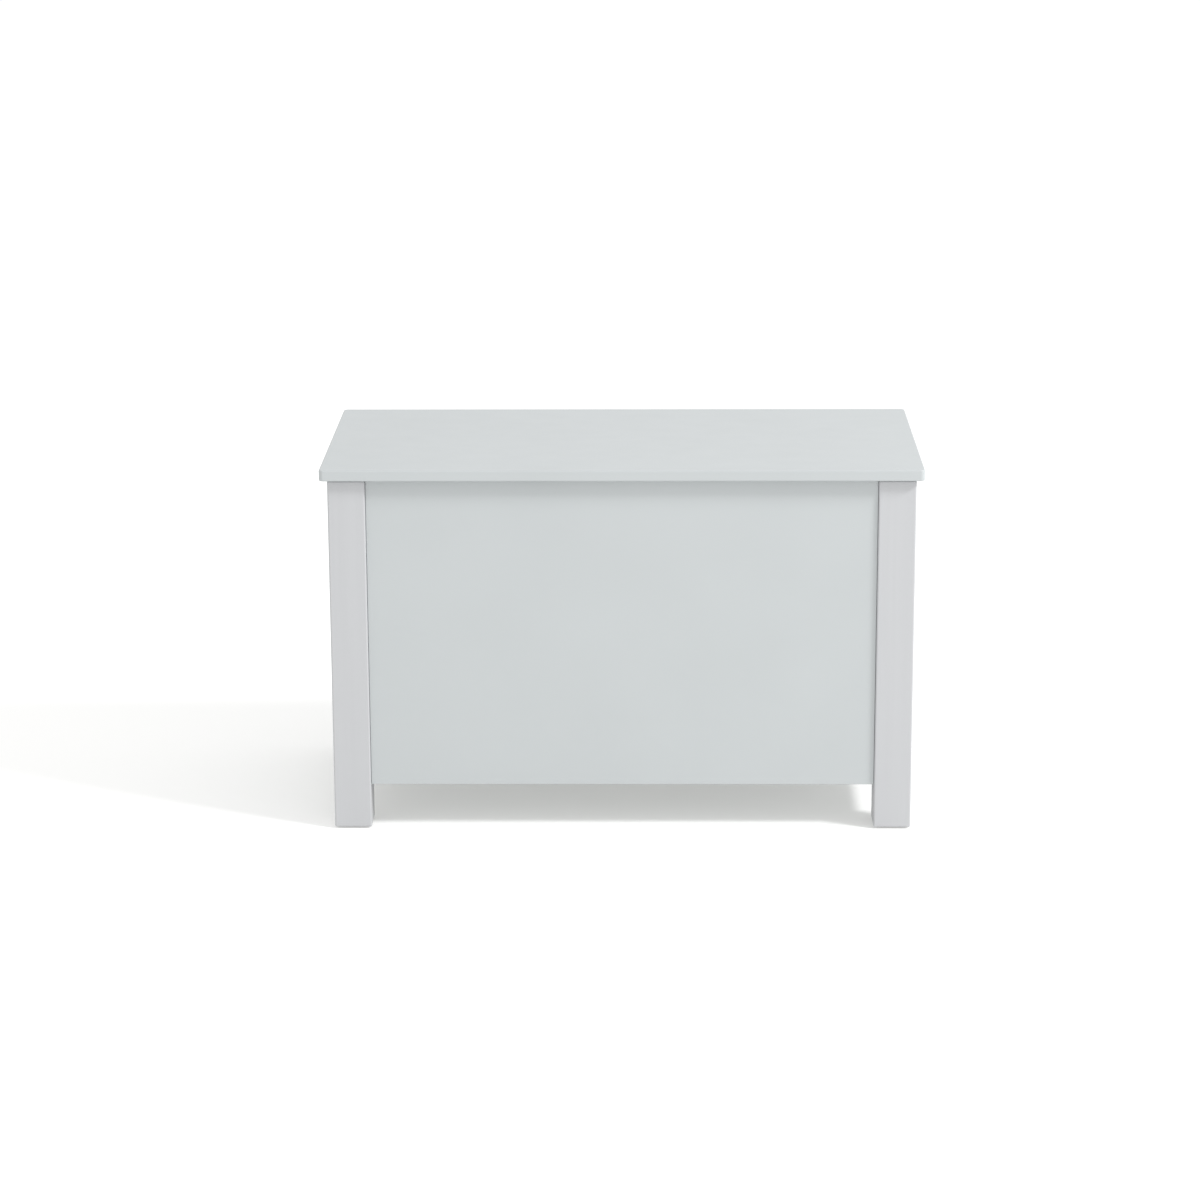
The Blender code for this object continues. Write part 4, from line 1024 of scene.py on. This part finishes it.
# ---- stage -------------------------------------------------------------------------------------
def make_floor(studio):
    """A plain floor of white opal acrylic, lit from below, so that shadows on it stay pale."""
    corners = [(x * studio.floor, y * studio.floor, 0) for x, y in ((-1, -1), (1, -1), (1, 1), (-1, 1))]
    mesh = bpy.data.meshes.new("floor")
    mesh.from_pydata(corners, [], [(0, 1, 2, 3)])
    floor = bpy.data.objects.new("floor", mesh)
    bpy.context.scene.collection.objects.link(floor)
    tree, _ = new_finish("opal_acrylic_floor")
    opal = {
        "Base Color": shade([studio.floor_white] * 3),
        "Roughness": 0.9,
        "Specular IOR Level": 0.0,
        "Emission Color": shade(studio.glow_colour),
        "Emission Strength": studio.glow,
    }
    acrylic = add(tree, "ShaderNodeBsdfPrincipled", opal)
    add(tree, "ShaderNodeOutputMaterial", links={"Surface": (acrylic, "BSDF")})
    mesh.materials.append(bpy.data.materials["opal_acrylic_floor"])


def make_lights(studio):
    """A white surround, a soft key light high at the right, and a wide low fill from the front."""
    world = bpy.data.worlds.new("surround")
    world.use_nodes = True
    background = world.node_tree.nodes["Background"]
    background.inputs["Color"].default_value = shade((1, 1, 1))
    background.inputs["Strength"].default_value = studio.sky
    bpy.context.scene.world = world
    box_middle = Vector((0, 0, 0.25))
    for name, towards, width, height, power in (
        ("key", Vector((2.25, -1, 2)), studio.key_width, studio.key_height, studio.key),
        ("fill", Vector((0, -1, 0.12)), studio.fill_size, studio.fill_size, studio.fill),
    ):
        data = bpy.data.lights.new(name, "AREA")
        data.shape = "RECTANGLE"
        data.size, data.size_y, data.energy = width, height, power
        light = bpy.data.objects.new(name, data)
        bpy.context.scene.collection.objects.link(light)
        light.location = box_middle + towards.normalized() * studio.light_distance
        light.rotation_euler = towards.to_track_quat("Z", "Y").to_euler()


def make_camera():
    """A long lens, a little to the right of the box and looking down on it."""
    data = bpy.data.cameras.new("camera")
    data.sensor_width, data.lens = 36, 104.2
    camera = bpy.data.objects.new("camera", data)
    bpy.context.scene.collection.objects.link(camera)
    pan, tilt, roll = 0.91, -14.83, -0.24  # degrees, from level and facing the back
    place = Matrix.Translation((0.042, -4.668, 1.506))
    for degrees, axis in ((pan, "Z"), (90 + tilt, "X"), (roll, "Z")):
        place = place @ Matrix.Rotation(math.radians(degrees), 4, axis)
    camera.matrix_world = place
    bpy.context.scene.camera = camera
    bpy.context.scene.view_settings.view_transform = "Standard"


# ---- operators, panel and registration ---------------------------------------------------------
class TOYBOX_OT_lid(bpy.types.Operator):
    """Makes the lid"""

    bl_idname = "toy_box.lid"
    bl_label = "Lid"

    def execute(self, context):
        make_lid(context.scene.toy_box.boards)
        return {"FINISHED"}


class TOYBOX_OT_legs(bpy.types.Operator):
    """Makes the four legs"""

    bl_idname = "toy_box.legs"
    bl_label = "Legs"

    def execute(self, context):
        make_legs(context.scene.toy_box.boards)
        return {"FINISHED"}


class TOYBOX_OT_walls(bpy.types.Operator):
    """Makes the four walls and the base"""

    bl_idname = "toy_box.walls"
    bl_label = "Walls and base"

    def execute(self, context):
        make_walls(context.scene.toy_box.boards)
        make_base(context.scene.toy_box.boards)
        return {"FINISHED"}


class TOYBOX_OT_feet(bpy.types.Operator):
    """Makes the floor glides and the lid bumpers"""

    bl_idname = "toy_box.feet"
    bl_label = "Glides and bumpers"

    def execute(self, context):
        make_feet()
        return {"FINISHED"}


class TOYBOX_OT_cams(bpy.types.Operator):
    """Makes the cam locks, and plates their bolts"""

    bl_idname = "toy_box.cams"
    bl_label = "Cam locks"

    def execute(self, context):
        make_cams()
        for name, node in frame["nodes"].items():
            if name.endswith("_cam_bolt"):
                node.data.materials.clear()
                node.data.materials.append(finish(bright_zinc_plate))
        return {"FINISHED"}


class TOYBOX_OT_hinges(bpy.types.Operator):
    """Makes the hinges and every screw"""

    bl_idname = "toy_box.hinges"
    bl_label = "Hinges and screws"

    def execute(self, context):
        make_hinges(context.scene.toy_box.fittings)
        make_screws(context.scene.toy_box.fittings)
        return {"FINISHED"}


class TOYBOX_OT_struts(bpy.types.Operator):
    """Makes the struts with their studs and brackets"""

    bl_idname = "toy_box.struts"
    bl_label = "Struts"

    def execute(self, context):
        fittings = context.scene.toy_box.fittings
        for side, sign in SIDES:
            make_leg_stud(fittings, side, sign)
            make_lid_bracket(fittings, side, sign)
            make_strut(fittings, side, sign)
        return {"FINISHED"}


class TOYBOX_OT_stage(bpy.types.Operator):
    """Makes the floor, the lights and the camera"""

    bl_idname = "toy_box.stage"
    bl_label = "Stage"

    def execute(self, context):
        make_floor(context.scene.toy_box.studio)
        make_lights(context.scene.toy_box.studio)
        make_camera()
        return {"FINISHED"}


OPERATORS = (
    TOYBOX_OT_lid,
    TOYBOX_OT_legs,
    TOYBOX_OT_walls,
    TOYBOX_OT_feet,
    TOYBOX_OT_cams,
    TOYBOX_OT_hinges,
    TOYBOX_OT_struts,
    TOYBOX_OT_stage,
)


class TOYBOX_PT_panel(bpy.types.Panel):
    """Lists the toy box's sizes, colours and makers"""

    bl_label = "Toy Box"
    bl_idname = "TOYBOX_PT_panel"
    bl_space_type = "VIEW_3D"
    bl_region_type = "UI"
    bl_category = "Toy Box"

    def draw(self, context):
        settings = context.scene.toy_box
        for group in (settings.boards, settings.fittings, settings.paints, settings.studio):
            box = self.layout.box()
            for name in group.__annotations__:
                box.prop(group, name)
        for operator in OPERATORS:
            self.layout.operator(operator.bl_idname)


CLASSES = (
    BoardSizes,
    FittingSizes,
    PaintColours,
    StudioSettings,
    ToyBoxSettings,
    *OPERATORS,
    TOYBOX_PT_panel,
)


def register():
    for made in CLASSES:
        bpy.utils.register_class(made)
    bpy.types.Scene.toy_box = PointerProperty(type=ToyBoxSettings)


def unregister():
    del bpy.types.Scene.toy_box
    for made in reversed(CLASSES):
        bpy.utils.unregister_class(made)


def main():
    """Makes every piece and the stage."""
    register()
    for operator in OPERATORS:
        getattr(bpy.ops.toy_box, operator.bl_idname.split(".")[1])()


if __name__ == "__main__":
    main()
